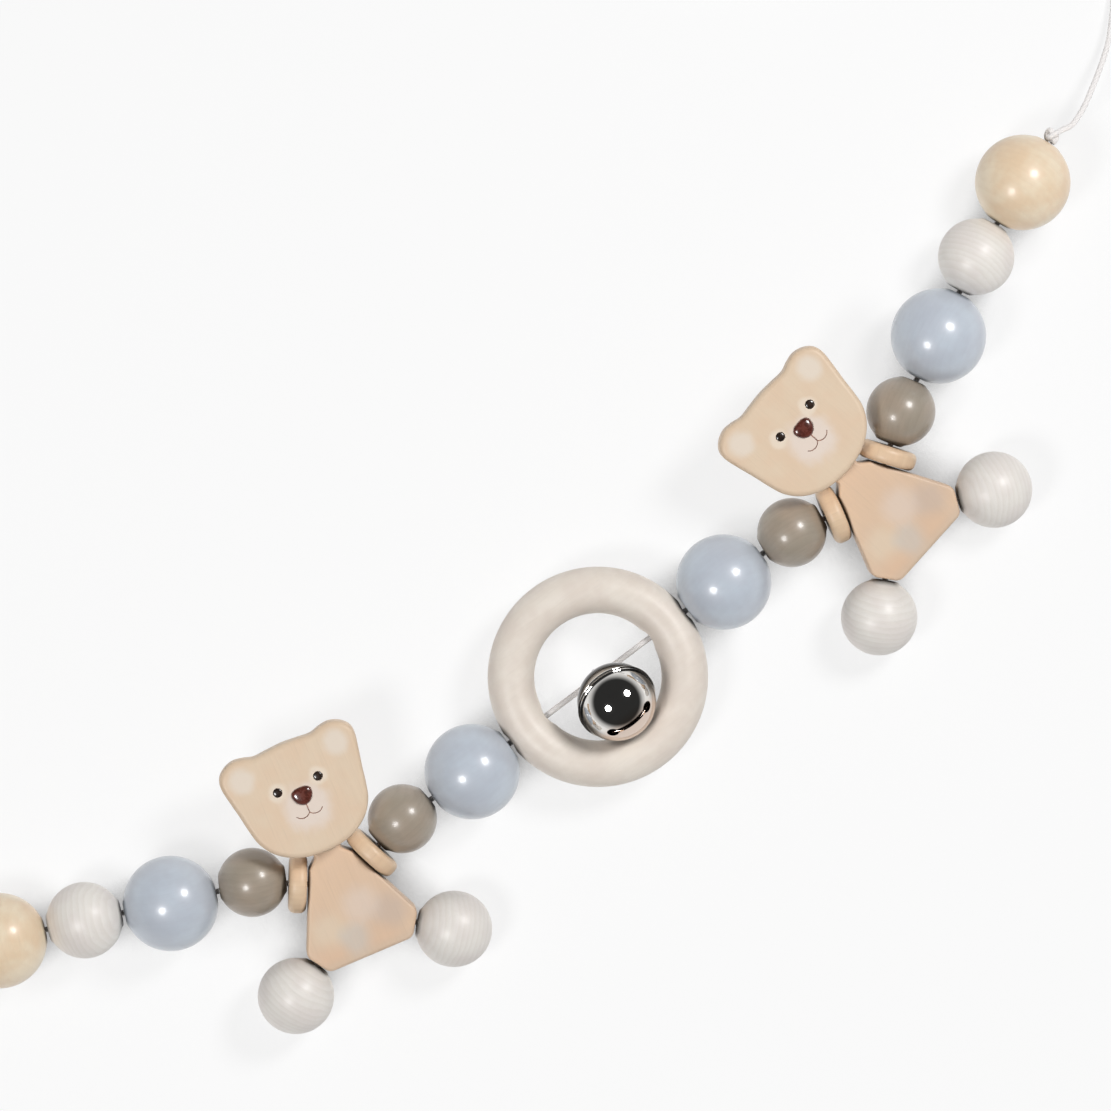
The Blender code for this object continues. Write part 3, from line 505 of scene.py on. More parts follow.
def moulded(name, colour):
    """Satin moulded plastic with a fine spark-eroded grain and cloudy flow marks."""
    values = {"Roughness": 0.38, "Subsurface Weight": 0.05, "Subsurface Radius": (0.002, 0.002, 0.002)}
    material, tree, shader, place = new_material(name, values)
    grain = noise(tree, place, 6500.0, 2.0)
    flow = noise(tree, place, 140.0, 3.0)
    tone = mixed(tree, ranged(tree, flow, 0.35, 0.7), shade(colour, 1), shade(colour, 0.93))
    rough = maths(tree, "MULTIPLY_ADD", grain, 0.2, 0.28)
    dress(tree, shader, tone, grain, 0.25, 0.00002, rough)
    return material


def paint(name, colour, coat):
    """Thick glossy paint, laid by brush, a little uneven."""
    values = {"Roughness": 0.28, "Coat Weight": coat, "Coat Roughness": 0.06}
    material, tree, shader, place = new_material(name, values)
    brush = noise(tree, place, 900.0, 3.0)
    tone = mixed(tree, ranged(tree, brush, 0.35, 0.7), shade(colour, 0.8), shade(colour, 1.7))
    rough = maths(tree, "MULTIPLY_ADD", brush, 0.2, 0.16)
    dress(tree, shader, tone, brush, 0.2, 0.00006, rough)
    return material


# How each finish's wood looks, in the words of wood(). The grain runs along a piece's own Z,
# or turned along its own X or Y
across_grain = (0, math.radians(90), 0)
up_grain = (math.radians(90), 0, 0)
looks = {
    "natural": {
        "grain": 0.10, "fibre": 0.08, "spacing": 0.0017, "tint": (0.830, 0.630, 0.430),
        "late": (0.700, 0.530, 0.360), "roughness": 0.42, "coat": 0.45, "bump": 0.20,
        "coat_roughness": 0.2, "turn": up_grain,
    },
    "white": {
        "grain": 0.20, "fibre": 0.10, "spacing": 0.0012, "tint": (0.830, 0.775, 0.735),
        "late": (0.660, 0.600, 0.520), "roughness": 0.47, "coat": 0.24, "bump": 0.25,
        "coat_roughness": 0.30, "turn": up_grain,
    },
    "blue": {
        "grain": 0.06, "fibre": 0.05, "spacing": 0.0013, "tint": (0.540, 0.580, 0.650),
        "roughness": 0.36, "coat": 0.6, "bump": 0.12, "coat_roughness": 0.16,
        "crease_shade": 0.0024,
    },
    "grey": {
        "grain": 0.14, "fibre": 0.12, "spacing": 0.0012, "tint": (0.400, 0.325, 0.255),
        "roughness": 0.40, "coat": 0.5, "bump": 0.16, "coat_roughness": 0.18,
    },
    "ring": {
        "grain": 0.12, "fibre": 0.08, "spacing": 0.0026, "tint": (0.800, 0.710, 0.630),
        "late": (0.730, 0.640, 0.530), "roughness": 0.52, "coat": 0.22, "bump": 0.22,
        "coat_roughness": 0.34, "turn": across_grain, "crease_shade": 0.0022,
    },
    "head": {
        "grain": 0.08, "fibre": 0.09, "spacing": 0.0021, "tint": (0.775, 0.590, 0.425),
        "late": (0.680, 0.500, 0.350), "roughness": 0.5, "coat": 0.10, "bump": 0.22,
        "coat_roughness": 0.35, "turn": up_grain,
    },
    "body": {
        "grain": 0.08, "fibre": 0.10, "spacing": 0.0019, "tint": (0.740, 0.540, 0.385),
        "late": (0.620, 0.420, 0.280), "roughness": 0.5, "coat": 0.10, "bump": 0.22,
        "coat_roughness": 0.35, "turn": up_grain,
    },
    "arm": {
        "grain": 0.14, "fibre": 0.12, "spacing": 0.0015, "tint": (0.790, 0.590, 0.400),
        "late": (0.660, 0.450, 0.290), "roughness": 0.46, "coat": 0.2, "bump": 0.25,
        "coat_roughness": 0.3, "crease_shade": 0.0022,
    },
}

# The record's material slot of each finish
slots = {name: f"{name}_wood" for name in looks}
slots.update(cord="cord", bell="bell_metal", steel="steel", plastic="clip_plastic")
slots.update(dict.fromkeys(("eye", "nose", "mouth"), "head_wood"))


def finish(name):
    """The material of a finish, made the first time that it is asked for."""
    full_name = f"{name} finish"
    found = bpy.data.materials.get(full_name)
    if found:
        return found
    colour = tuple(getattr(bpy.context.scene.chain_colours, name))
    if name in looks:
        marks = {"head": head_marks, "body": body_marks}.get(name)
        return wood(full_name, colour, looks[name], marks)
    if name == "bell":
        return plated(full_name, colour, 0.05, bell_reflections)
    if name == "steel":
        return plated(full_name, colour, 0.22)
    if name == "cord":
        return elastic(full_name, colour)
    if name == "plastic":
        return moulded(full_name, colour)
    return paint(full_name, colour, {"nose": 1.0, "eye": 0.8, "mouth": 0.1}[name])


# Shapes


def frame_of(point, x, y, z):
    return Matrix.Translation(point) @ Matrix((x, y, z)).transposed().to_4x4()


def frame_along(point, axis, toward=up):
    """A frame at a point with its Z along the axis and its X near another direction."""
    z = Vector(axis).normalized()
    x = toward - z * toward.dot(z)
    if x.length < 0.01:
        x = Vector((1, 0, 0)) - z * z.x
    x.normalize()
    return frame_of(point, x, z.cross(x), z)


def joint_place(name):
    return Vector(joints[name]["pos_m"])


def joint_frame(name):
    return frame_along(joint_place(name), joints[name]["axis"])


def bell_frame():
    """The bell's frame: at its middle, Z from the cord through it, X along the cord."""
    middle, cord = joint_place("bell_pellet_roll"), joint_place("bell_swing")
    return frame_along(middle, middle - cord, -Vector(joints["bell_swing"]["axis"]))


def bear_frame(side):
    """Middle between the arm discs, X to the bear's left as seen, Y up the bear, Z to the face."""
    inner, outer = (joint_place(f"{side}_{where}_arm_disc_spin") for where in ("inner", "outer"))
    feet = joint_place(f"{side}_inner_foot_spin") + joint_place(f"{side}_outer_foot_spin")
    middle = (inner + outer) / 2
    x = (outer - inner).normalized() * (1 if side == "right" else -1)
    y = middle - feet / 2
    y = (y - x * y.dot(x)).normalized()
    return frame_of(middle, x, y, x.cross(y))


def clip_frame(side):
    """At the clip's tail on the surface, X to the tips of the jaws."""
    pivot = joint_place(f"{side}_clip_open")
    x = up.cross(Vector(joints[f"{side}_clip_open"]["axis"])).normalized()
    low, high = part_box(f"{side}_clip_lower_jaw")
    if x.dot((low + high) / 2 - pivot) < 0:
        x = -x
    tail = Matrix.Translation((-clip_pivot[0], 0, 0))
    return frame_of((pivot.x, pivot.y, 0), x, up.cross(x), up) @ tail


def extent(node, place):
    """The lowest and highest corner of a CAD node in a frame of its own."""
    back = place.inverted()
    found = [back @ vertex.co for vertex in frame["nodes"][node].data.vertices]
    low = Vector([min(point[axis] for point in found) for axis in range(3)])
    high = Vector([max(point[axis] for point in found) for axis in range(3)])
    return low, high


def reach_of(node, middle):
    return max((vertex.co - middle).length for vertex in frame["nodes"][node].data.vertices)


def new_object(name, verts, faces):
    mesh = bpy.data.meshes.new(name)
    mesh.from_pydata([tuple(vert) for vert in verts], [], faces)
    mesh.update()
    obj = bpy.data.objects.new(name, mesh)
    bpy.context.scene.collection.objects.link(obj)
    return obj


def shape(name, verts, faces, finish_name, place=None):
    """Makes a smooth-shaded object of a shape, in one finish."""
    obj = new_object(name, verts, faces)
    obj.data.shade_smooth()
    obj.data.materials.append(finish(finish_name))
    obj.matrix_world = place or Matrix.Identity(4)
    return obj


def stand_for(obj, node):
    """A finished piece takes the place of a CAD node and moves with its body."""
    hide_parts(node)
    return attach(obj, body_of[node])


def arc(radius, start, end, steps, middle=(0, 0)):
    angles = [start + (end - start) * step / steps for step in range(steps + 1)]
    return [
        (middle[0] + radius * math.cos(angle), middle[1] + radius * math.sin(angle))
        for angle in angles
    ]


def both_sides(half):
    """An outline from its half and the half's mirror image, without the ends again."""
    return half + [(-x, y) for x, y in reversed(half[1:-1])]


def turned_over(half):
    """The same (radius, height) points below the level of 0, from the far end back."""
    return [(r, -h) for r, h in reversed(half)]


def joined(rings):
    """The faces between each ring of corners and the next. A point is a ring of one corner."""
    faces = []
    for low, high in zip(rings, rings[1:]):
        for side in range(len(low)):
            corners = (low[side - 1], low[side], high[side], high[side - 1])
            faces.append(tuple(dict.fromkeys(corners)))
    return faces


def turned(profile, steps, closed=False):
    """Turns (radius, height) points about Z. The outside runs upwards."""
    verts, rings = [], []
    for radius, height in profile:
        if radius < 1e-9:
            rings.append([len(verts)] * steps)
            verts.append((0, 0, height))
            continue
        rings.append(range(len(verts), len(verts) + steps))
        verts += [(x, y, height) for x, y in arc(radius, 0, 2 * math.pi, steps)[:-1]]
    return verts, joined(rings + rings[:1] if closed else rings)


def smooth_through(points, steps, closed=False):
    """A smooth curve through the points, with so many steps from each to the next."""
    points = [Vector(point) for point in points]
    count = len(points)
    found = []
    for span in range(count if closed else count - 1):
        if closed:
            a, b, c, d = (points[(span + shift) % count] for shift in (-1, 0, 1, 2))
        else:
            b, c = points[span], points[span + 1]
            a = points[span - 1] if span else b * 2 - c
            d = points[span + 2] if span + 2 < count else c * 2 - b
        for step in range(steps):
            t = step / steps
            bend = (a * 2 - b * 5 + c * 4 - d) * t**2 + (b * 3 - a - c * 3 + d) * t**3
            found.append((b * 2 + (c - a) * t + bend) / 2)
    return found if closed else found + [points[-1]]


def evenly(points, spacing):
    """Points along a line at even spacing, with its two ends kept."""
    runs = [(b - a).length for a, b in zip(points, points[1:])]
    count = max(2, round(sum(runs) / spacing))
    found = [points[0]]
    span, passed = 0, 0
    for place in range(1, count):
        along = sum(runs) * place / count
        while along > passed + runs[span]:
            passed += runs[span]
            span += 1
        found.append(points[span].lerp(points[span + 1], (along - passed) / runs[span]))
    return found + [points[-1]]


def swept(points, radius, sides, relief=None):
    """A tube through points with domed ends, and how high its skin stands at each corner.

    Relief(along, round) gives how far a spot of the skin is lifted, and that height.
    """
    ways = [(b - a).normalized() for a, b in zip(points, points[1:])]
    ways = [ways[0]] + [(a + b).normalized() for a, b in zip(ways, ways[1:])] + [ways[-1]]
    aside = ways[0].orthogonal().normalized()
    along = 0
    spots = []
    for place, (point, way) in enumerate(zip(points, ways)):
        if place:
            along += (point - points[place - 1]).length
        aside = (aside - way * aside.dot(way)).normalized()
        spots.append((point, way, aside, along, 1))
    start, end = [], []
    for angle in map(math.radians, (15, 40, 65)):
        sink, share = radius * math.sin(angle), math.cos(angle)
        start.insert(0, (spots[0][0] - spots[0][1] * sink, *spots[0][1:4], share))
        end.append((spots[-1][0] + spots[-1][1] * sink, *spots[-1][1:4], share))

    verts, rings, lifts = [], [], []
    for point, way, aside, along, share in start + spots + end:
        over = way.cross(aside)
        rings.append(range(len(verts), len(verts) + sides))
        for side in range(sides):
            angle = 2 * math.pi * side / sides
            lift, height = relief(along, angle) if relief else (0, 1)
            reach = (radius + lift) * share
            verts.append(point + (aside * math.cos(angle) + over * math.sin(angle)) * reach)
            lifts.append(height)
    tips = [points[0] - ways[0] * radius, points[-1] + ways[-1] * radius]
    rings = [[len(verts)] * sides, *rings, [len(verts) + 1] * sides]
    return verts + tips, joined(rings), lifts + [1, 1]


def braided(name, points, radius):
    """A braided cord through points: two sets of strands that cross round it."""
    pitch, lift = sizes().braid_pitch, sizes().braid_lift
    strands, sides, spacing = 6, 24, 0.00014

    def relief(along, angle):
        turns = angle * strands / (2 * math.pi)
        one = abs(math.sin(math.pi * (turns + along / pitch)))
        other = abs(math.sin(math.pi * (turns - along / pitch)))
        bulge = math.sqrt(one * other)
        return lift * (bulge - 0.75), bulge

    verts, faces, lifts = swept(evenly(points, spacing), radius, sides, relief)
    obj = shape(name, verts, faces, "cord")
    strand = obj.data.attributes.new("strand", "FLOAT", "POINT")
    strand.data.foreach_set("value", lifts)
    return obj


def filleted(corners, steps):
    """An outline with each corner (x, y, radius) rounded by an arc."""
    outline = []
    for place, (x, y, radius) in enumerate(corners):
        corner = Vector((x, y))
        before = (Vector(corners[place - 1][:2]) - corner).normalized()
        after = (Vector(corners[(place + 1) % len(corners)][:2]) - corner).normalized()
        half = before.angle(after) / 2
        middle = corner + (before + after).normalized() * radius / math.sin(half)
        spoke = corner + before * radius / math.tan(half) - middle
        swing = math.copysign(math.pi - 2 * half, after.cross(before))
        start = math.atan2(spoke.y, spoke.x)
        outline += arc(radius, start, start + swing, steps, middle)
    return outline


def inward(outline, by):
    """The outline moved inwards along its own normals. It runs anticlockwise."""
    moved = []
    for spot, here in enumerate(outline):
        before, here = Vector(outline[spot - 1]), Vector(here)
        after = Vector(outline[(spot + 1) % len(outline)])
        way = (after - here).normalized() + (here - before).normalized()
        way.normalize()
        moved.append(here + Vector((-way.y, way.x)) * by)
    return moved


def plate(outline, low, high, edge, steps=5):
    """A flat piece cut to an outline, its rims rounded by quarter rounds."""
    levels = []
    for step in range(steps + 1):
        angle = math.pi / 2 * step / steps
        levels.append((edge * (1 - math.sin(angle)), low + edge * (1 - math.cos(angle))))
    levels += [(inset, low + high - height) for inset, height in reversed(levels)]
    verts, rings = [], []
    for inset, height in levels:
        rings.append(range(len(verts), len(verts) + len(outline)))
        verts += [(x, y, height) for x, y in inward(outline, inset)]
    return verts, [tuple(reversed(rings[0])), tuple(rings[-1]), *joined(rings)]


def drill_shape(radius, low, high):
    return turned([(0, low), (radius, low), (radius, high), (0, high)], 32)


def even_normals(obj, sharp_angle):
    """Keeps broad flat faces flat to the eye where they meet their rounded rims."""
    obj.data.shade_smooth()
    obj.data.set_sharp_from_angle(angle=math.radians(sharp_angle))
    modifier = obj.modifiers.new("even normals", "WEIGHTED_NORMAL")
    modifier.weight = 100
    modifier.keep_sharp = True
    return obj


def cut_away(obj, name, verts, faces, place):
    """Cuts a shape out of an object for good."""
    cutter = new_object(name, verts, faces)
    mesh = cutter.data
    cutter.matrix_world = place
    boolean = obj.modifiers.new(name, "BOOLEAN")
    boolean.operation = "DIFFERENCE"
    boolean.solver = "EXACT"
    boolean.object = cutter
    bpy.context.view_layer.update()
    graph = bpy.context.evaluated_depsgraph_get()
    made = bpy.data.meshes.new_from_object(obj.evaluated_get(graph))
    obj.modifiers.clear()
    obj.data = made
    bpy.data.objects.remove(cutter)
    bpy.data.meshes.remove(mesh)


def true_normals(obj, skin_normal):
    """Shades a cut round skin as if it were whole.

    Skin_normal(point, facing) is the whole skin's normal there, or None off the skin.
    """
    mesh = obj.data
    normals = []
    for polygon in mesh.polygons:
        for vertex in polygon.vertices:
            best = skin_normal(mesh.vertices[vertex].co, polygon.normal)
            normals.append(best if best is not None else polygon.normal.copy())
    mesh.normals_split_custom_set(normals)


# Pieces


def bead_face(radius, tilt=bend_tilt):
    """The eased end of a bead, from inside its bore out to where the round skin begins.

    It falls away outwards, so that two neighbours can tilt on the cord without meeting.
    """
    bore, mouth = sizes().bore / 2, sizes().mouth
    fall = math.tan(tilt / 2)

    def level(reach):
        return radius + bead_gap / 2 - reach * fall

    lip = arc(mouth, math.pi, math.pi / 2, 4, (bore + mouth, level(bore + mouth) - mouth))
    rim, join = bore + face_reach, bore + face_join
    past, drop = 0.0002, 0.00004
    shoulder = [(rim, level(rim)), (rim + past, level(rim + past) - drop)]
    return [*lip, *shoulder, (join, math.sqrt(radius**2 - join**2))]


def flat_face(radius, flat):
    """The level end of a bead that meets the ring, the same way round as an eased one."""
    bore, mouth = sizes().bore / 2, sizes().mouth
    level = math.sqrt(radius**2 - seat_flat**2)
    inside, edge, drop, join = 0.0004, 0.0002, 0.00012, flat + 0.0005
    face = [(bore, level - inside), (bore + mouth, level), (flat - edge, level)]
    return [*face, (flat, level - drop), (join, math.sqrt(radius**2 - join**2))]


def bead_profile(radius, flat, tilts):
    """The outline of a bored bead with an eased face round each mouth, or a flat one below."""
    low_face = flat_face(radius, flat) if flat else bead_face(radius, tilts[0])
    high_face = bead_face(radius, tilts[1])
    start, end = (math.acos(face[-1][0] / radius) for face in (low_face, high_face))
    outside = arc(radius, -start, end, 30)[1:-1]
    return [*((r, -h) for r, h in low_face), *outside, *reversed(high_face)]


def foot_profile(radius):
    """A foot: a bead bored part of the way, from its low end."""
    face = bead_face(radius)
    outside = arc(radius, -math.acos(face[-1][0] / radius), math.pi / 2, 30)[1:-1]
    end = foot_depth - math.sqrt(radius**2 - seat_flat**2)
    return [(0, end), (sizes().bore / 2, end), *((r, -h) for r, h in face), *outside, (0, radius)]


class CHAIN_OT_beads(bpy.types.Operator):
    """Turns the beads of the chain and the bears' feet"""

    bl_idname = "chain.beads"
    bl_label = "Beads and feet"

    def execute(self, context):
        for side in ("right", "left"):
            for name, colour, flat, tilts in beads:
                self.turn(f"{side}_{name}", colour, bead_profile, flat, tilts)
            for where in ("inner", "outer"):
                self.turn(f"{side}_{where}_foot", "white", foot_profile, closed=False)
        return {"FINISHED"}

    def turn(self, node, colour, profile, *settings, closed=True):
        place = joint_frame(f"{node}_spin")
        outline = profile(reach_of(node, place.translation), *settings)
        verts, faces = turned(outline, sizes().round_steps, closed)
        stand_for(shape(f"turned_{node}", verts, faces, colour, place), node)


class CHAIN_OT_ring(bpy.types.Operator):
    """Turns the grab ring and bores it across for the cord"""

    bl_idname = "chain.ring"
    bl_label = "Grab ring"

    def execute(self, context):
        middle, along = joint_place("ring_turn"), Vector(joints["ring_turn"]["axis"])
        place = frame_along(middle, up, along)
        low, high = extent("ring", place)
        tube = (high.z - low.z) / 2
        major = reach_of("ring", middle) - tube
        profile = arc(tube, 0, 2 * math.pi, 48, (major, 0))[:-1]
        verts, faces = turned(profile, 128, closed=True)
        ring = shape("turned_ring", verts, faces, "ring", place)
        self.bore(ring, place, major, tube)

        def skin(point, facing):
            spoke = Vector((point.x, point.y, 0)).normalized()
            away = point - spoke * major
            if abs(away.length - tube) > 1e-5 or away.normalized().dot(facing) < 0.9:
                return None
            return away.normalized()

        true_normals(ring, skin)
        stand_for(ring, "ring")
        return {"FINISHED"}

    def bore(self, ring, place, major, tube):
        """A straight bore with its four mouths eased."""
        radius, ease = sizes().bore / 2, 0.0006
        # Each mouth's widening, in shares of the ease, at heights from inside the wood to outside
        flare = [(0, -0.0010), (0.3, -0.0005), (1, 0), (2.2, 0.0010)]
        half = []
        for level, out, order in ((major - tube, -1, reversed(flare)), (major + tube, 1, flare)):
            half += [(radius + ease * wider, level + out * height) for wider, height in order]
        far = major + tube + 0.001
        verts, faces = turned([(0, -far), *turned_over(half), *half, (0, far)], 40)
        cut_away(ring, "ring_bore", verts, faces, place @ Matrix.Rotation(math.pi / 2, 4, "Y"))


class CHAIN_OT_bell(bpy.types.Operator):
    """Presses the two shells of the bell, with its seam, slot, eye and pellet"""

    bl_idname = "chain.bell"
    bl_label = "Bell"

    def execute(self, context):
        place = bell_frame()
        _, high = extent("bell_lower_shell", place)
        self.shell("bell_upper_shell", -1, high.z, high.y, place)
        self.shell("bell_lower_shell", 1, high.z, high.y, place)
        self.eye(place)
        self.pellet()
        return {"FINISHED"}

    def shell(self, node, side, radius, seam, place):
        """Half a hollow ball with a rolled rim. Side is 1 for the half with the slot."""
        wall, lip, gap = 0.0005, 0.0006, 0.00012
        inner, roll = radius - wall, lip * 0.45
        outside = arc(radius, math.pi / 2, math.asin(lip / radius) + 0.03, 26)
        fold = ((seam + radius) / 2 - 0.0002, lip * 1.02 + gap)
        rim = arc(roll, math.pi / 2, -math.pi / 2, 6, (seam - roll, roll + gap))
        inside = arc(inner, math.asin(gap / inner), math.pi / 2, 26)
        half = [(0, radius), *outside[1:], fold, *rim, *inside[:-1], (0, inner)]
        verts, faces = turned(half[::-1] if side > 0 else [(r, -h) for r, h in half], 96)
        shell = shape(f"pressed_{node}", verts, faces, "bell", place)

        def skin(point, facing):
            away = point.normalized()
            if min(abs(point.length - radius), abs(point.length - inner)) > 1e-6:
                return None
            if abs(point.z) < lip or abs(away.dot(facing)) < 0.9:
                return None
            return away if away.dot(facing) > 0 else -away

        if side > 0:
            self.slot(shell, radius, place)
            true_normals(shell, skin)
        stand_for(shell, node)

    def slot(self, shell, radius, place):
        """A straight slot with a round hole at each end."""
        half, width, hole = 0.0044, 0.00055, 0.0011
        meet = math.asin(width / hole)
        outline = arc(hole, -math.pi + meet, math.pi - meet, 20, (half, 0))
        outline += arc(hole, meet, 2 * math.pi - meet, 20, (-half, 0))
        verts, faces = plate(outline, radius * 0.3, radius * 1.2, 0, 1)
        cut_away(shell, "bell_slot", verts, faces, place)

    def eye(self, place):
        """A wire bent round the cord, its two feet on the shell."""
        wire, room = 0.0005, 0.0003
        reach = (place.translation - joint_place("bell_swing")).length
        half = sizes().cord / 2 + room + wire
        loop = [Vector((0, y, z)) for y, z in arc(half, math.pi, 2 * math.pi, 24, (0, -reach))]
        foot = half - reach + 0.0001
        legs = [Vector((0, -half, foot)), *loop, Vector((0, half, foot))]
        verts, faces, _ = swept(evenly(legs, 0.0002), wire, 16)
        stand_for(shape("wire_eye", verts, faces, "steel", place), "bell_eye")

    def pellet(self):
        low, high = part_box("bell_pellet")
        verts, faces = turned(arc((high.z - low.z) / 2, -math.pi / 2, math.pi / 2, 16), 32)
        middle = Matrix.Translation((low + high) / 2)
        stand_for(shape("steel_pellet", verts, faces, "steel", middle), "bell_pellet")


class CHAIN_OT_bears(bpy.types.Operator):
    """Cuts and paints the bears: bodies, heads, arm discs and neck dowels"""

    bl_idname = "chain.bears"
    bl_label = "Bears"

    def execute(self, context):
        for side in ("right", "left"):
            place = bear_frame(side)
            self.body(side, place)
            self.head(side, place)
            for where in ("inner", "outer"):
                self.arm(f"{side}_{where}_arm_disc")
            dowel = frame["nodes"][f"{side}_neck_dowel"]
            dowel.data.materials[0] = finish("arm")
            self.face(side, place)
        return {"FINISHED"}

    def body(self, side, place):
        node = f"{side}_bear_body"
        low, high = extent(node, place)
        corners = body_corners + [(-x, y, radius) for x, y, radius in reversed(body_corners)]
        verts, faces = plate(filleted(corners, 8), low.z, high.z, sizes().body_edge)
        body = shape(f"cut_{node}", verts, faces, "body", place)
        bores = (
            ("arm_bore", arm_point, arm_way, -0.0088, 0.0112),
            ("leg_bore", leg_point, leg_way, -0.011, 0.004),
        )
        for hand in (1, -1):
            for name, point, way, start, end in bores:
                point, way = (Vector((hand * x, y, 0)) for x, y in (point, way))
                spot = frame_along(place @ point, place.to_3x3() @ way)
                cut_away(body, name, *drill_shape(sizes().bore / 2, start, end), spot)
        stand_for(even_normals(body, 40), node)

    def head(self, side, place):
        node = f"{side}_bear_head"
        low, high = extent(node, place)
        wide, tall = (high.x - low.x) / 2, high.y - low.y
        half = [(x * wide, low.y + y * tall) for x, y in head_shares]
        outline = smooth_through(both_sides(half), 8, closed=True)
        verts, faces = plate(outline, low.z, high.z, sizes().head_edge, 6)
        stand_for(even_normals(shape(f"cut_{node}", verts, faces, "head", place), 40), node)

    def arm(self, node):
        place = joint_frame(f"{node}_spin")
        _, high = extent(node, place)
        radius, reach = high.x, high.z
        bore, mouth, edge = sizes().bore / 2, sizes().mouth, 0.0014
        upper = arc(edge, 0, math.pi / 2, 8, (radius - edge, reach - edge))
        upper += arc(mouth, math.pi / 2, math.pi, 4, (bore + mouth, reach - mouth))
        verts, faces = turned([*turned_over(upper), *upper], sizes().round_steps, closed=True)
        stand_for(shape(f"turned_{node}", verts, faces, "arm", place), node)

    def face(self, side, place):
        """Eyes, nose and mouth in raised paint on the front of the head."""
        low, high = extent(f"{side}_bear_head", place)
        front = place @ Matrix.Translation((face_shift[side], low.y, high.z))
        body = body_of[f"{side}_bear_head"]
        for name, hand in (("near", -1), ("far", 1)):
            middle = (hand * eye_apart, eye_rise)
            round_eye = arc(sizes().eye / 2, 0, 2 * math.pi, 32, middle)[:-1]
            self.dab(f"{side}_{name}_eye", round_eye, 0.0003, "eye", front, body)
        wide = sizes().nose / 2
        nose = [(x * wide, nose_rise + y * wide) for x, y in reversed(both_sides(nose_shares))]
        self.dab(f"{side}_nose", smooth_through(nose, 5, closed=True), 0.0007, "nose", front, body)
        for name, points, share in (
            ("lip", lip_line, 1),
            ("smile_right", smile_line, 0.7),
            ("smile_left", [(-x, y) for x, y in smile_line], 0.7),
        ):
            line = sizes().mouth_line / 2 * share
            sunk = [Vector((x, y, -line * 0.6)) for x, y in points]
            verts, faces, _ = swept(evenly(smooth_through(sunk, 8), 0.00012), line, 12)
            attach(shape(f"{side}_{name}", verts, faces, "mouth", front), body)

    def dab(self, name, outline, lift, colour, place, body):
        """A drop of paint with a domed top, sunk a hair into the wood."""
        points = [Vector(point) for point in outline]
        middle = sum(points, Vector((0, 0))) / len(points)
        verts = [(*point, -0.00005) for point in points]
        for share, height in drop_levels:
            verts += [(*middle.lerp(point, share), height * lift) for point in points]
        rings = [range(start, start + len(points)) for start in range(0, len(verts), len(points))]
        tip = [len(verts)] * len(points)
        verts.append((*middle, lift))
        faces = [tuple(reversed(rings[0])), *joined([*rings, tip])]
        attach(shape(name, verts, faces, colour, place), body)


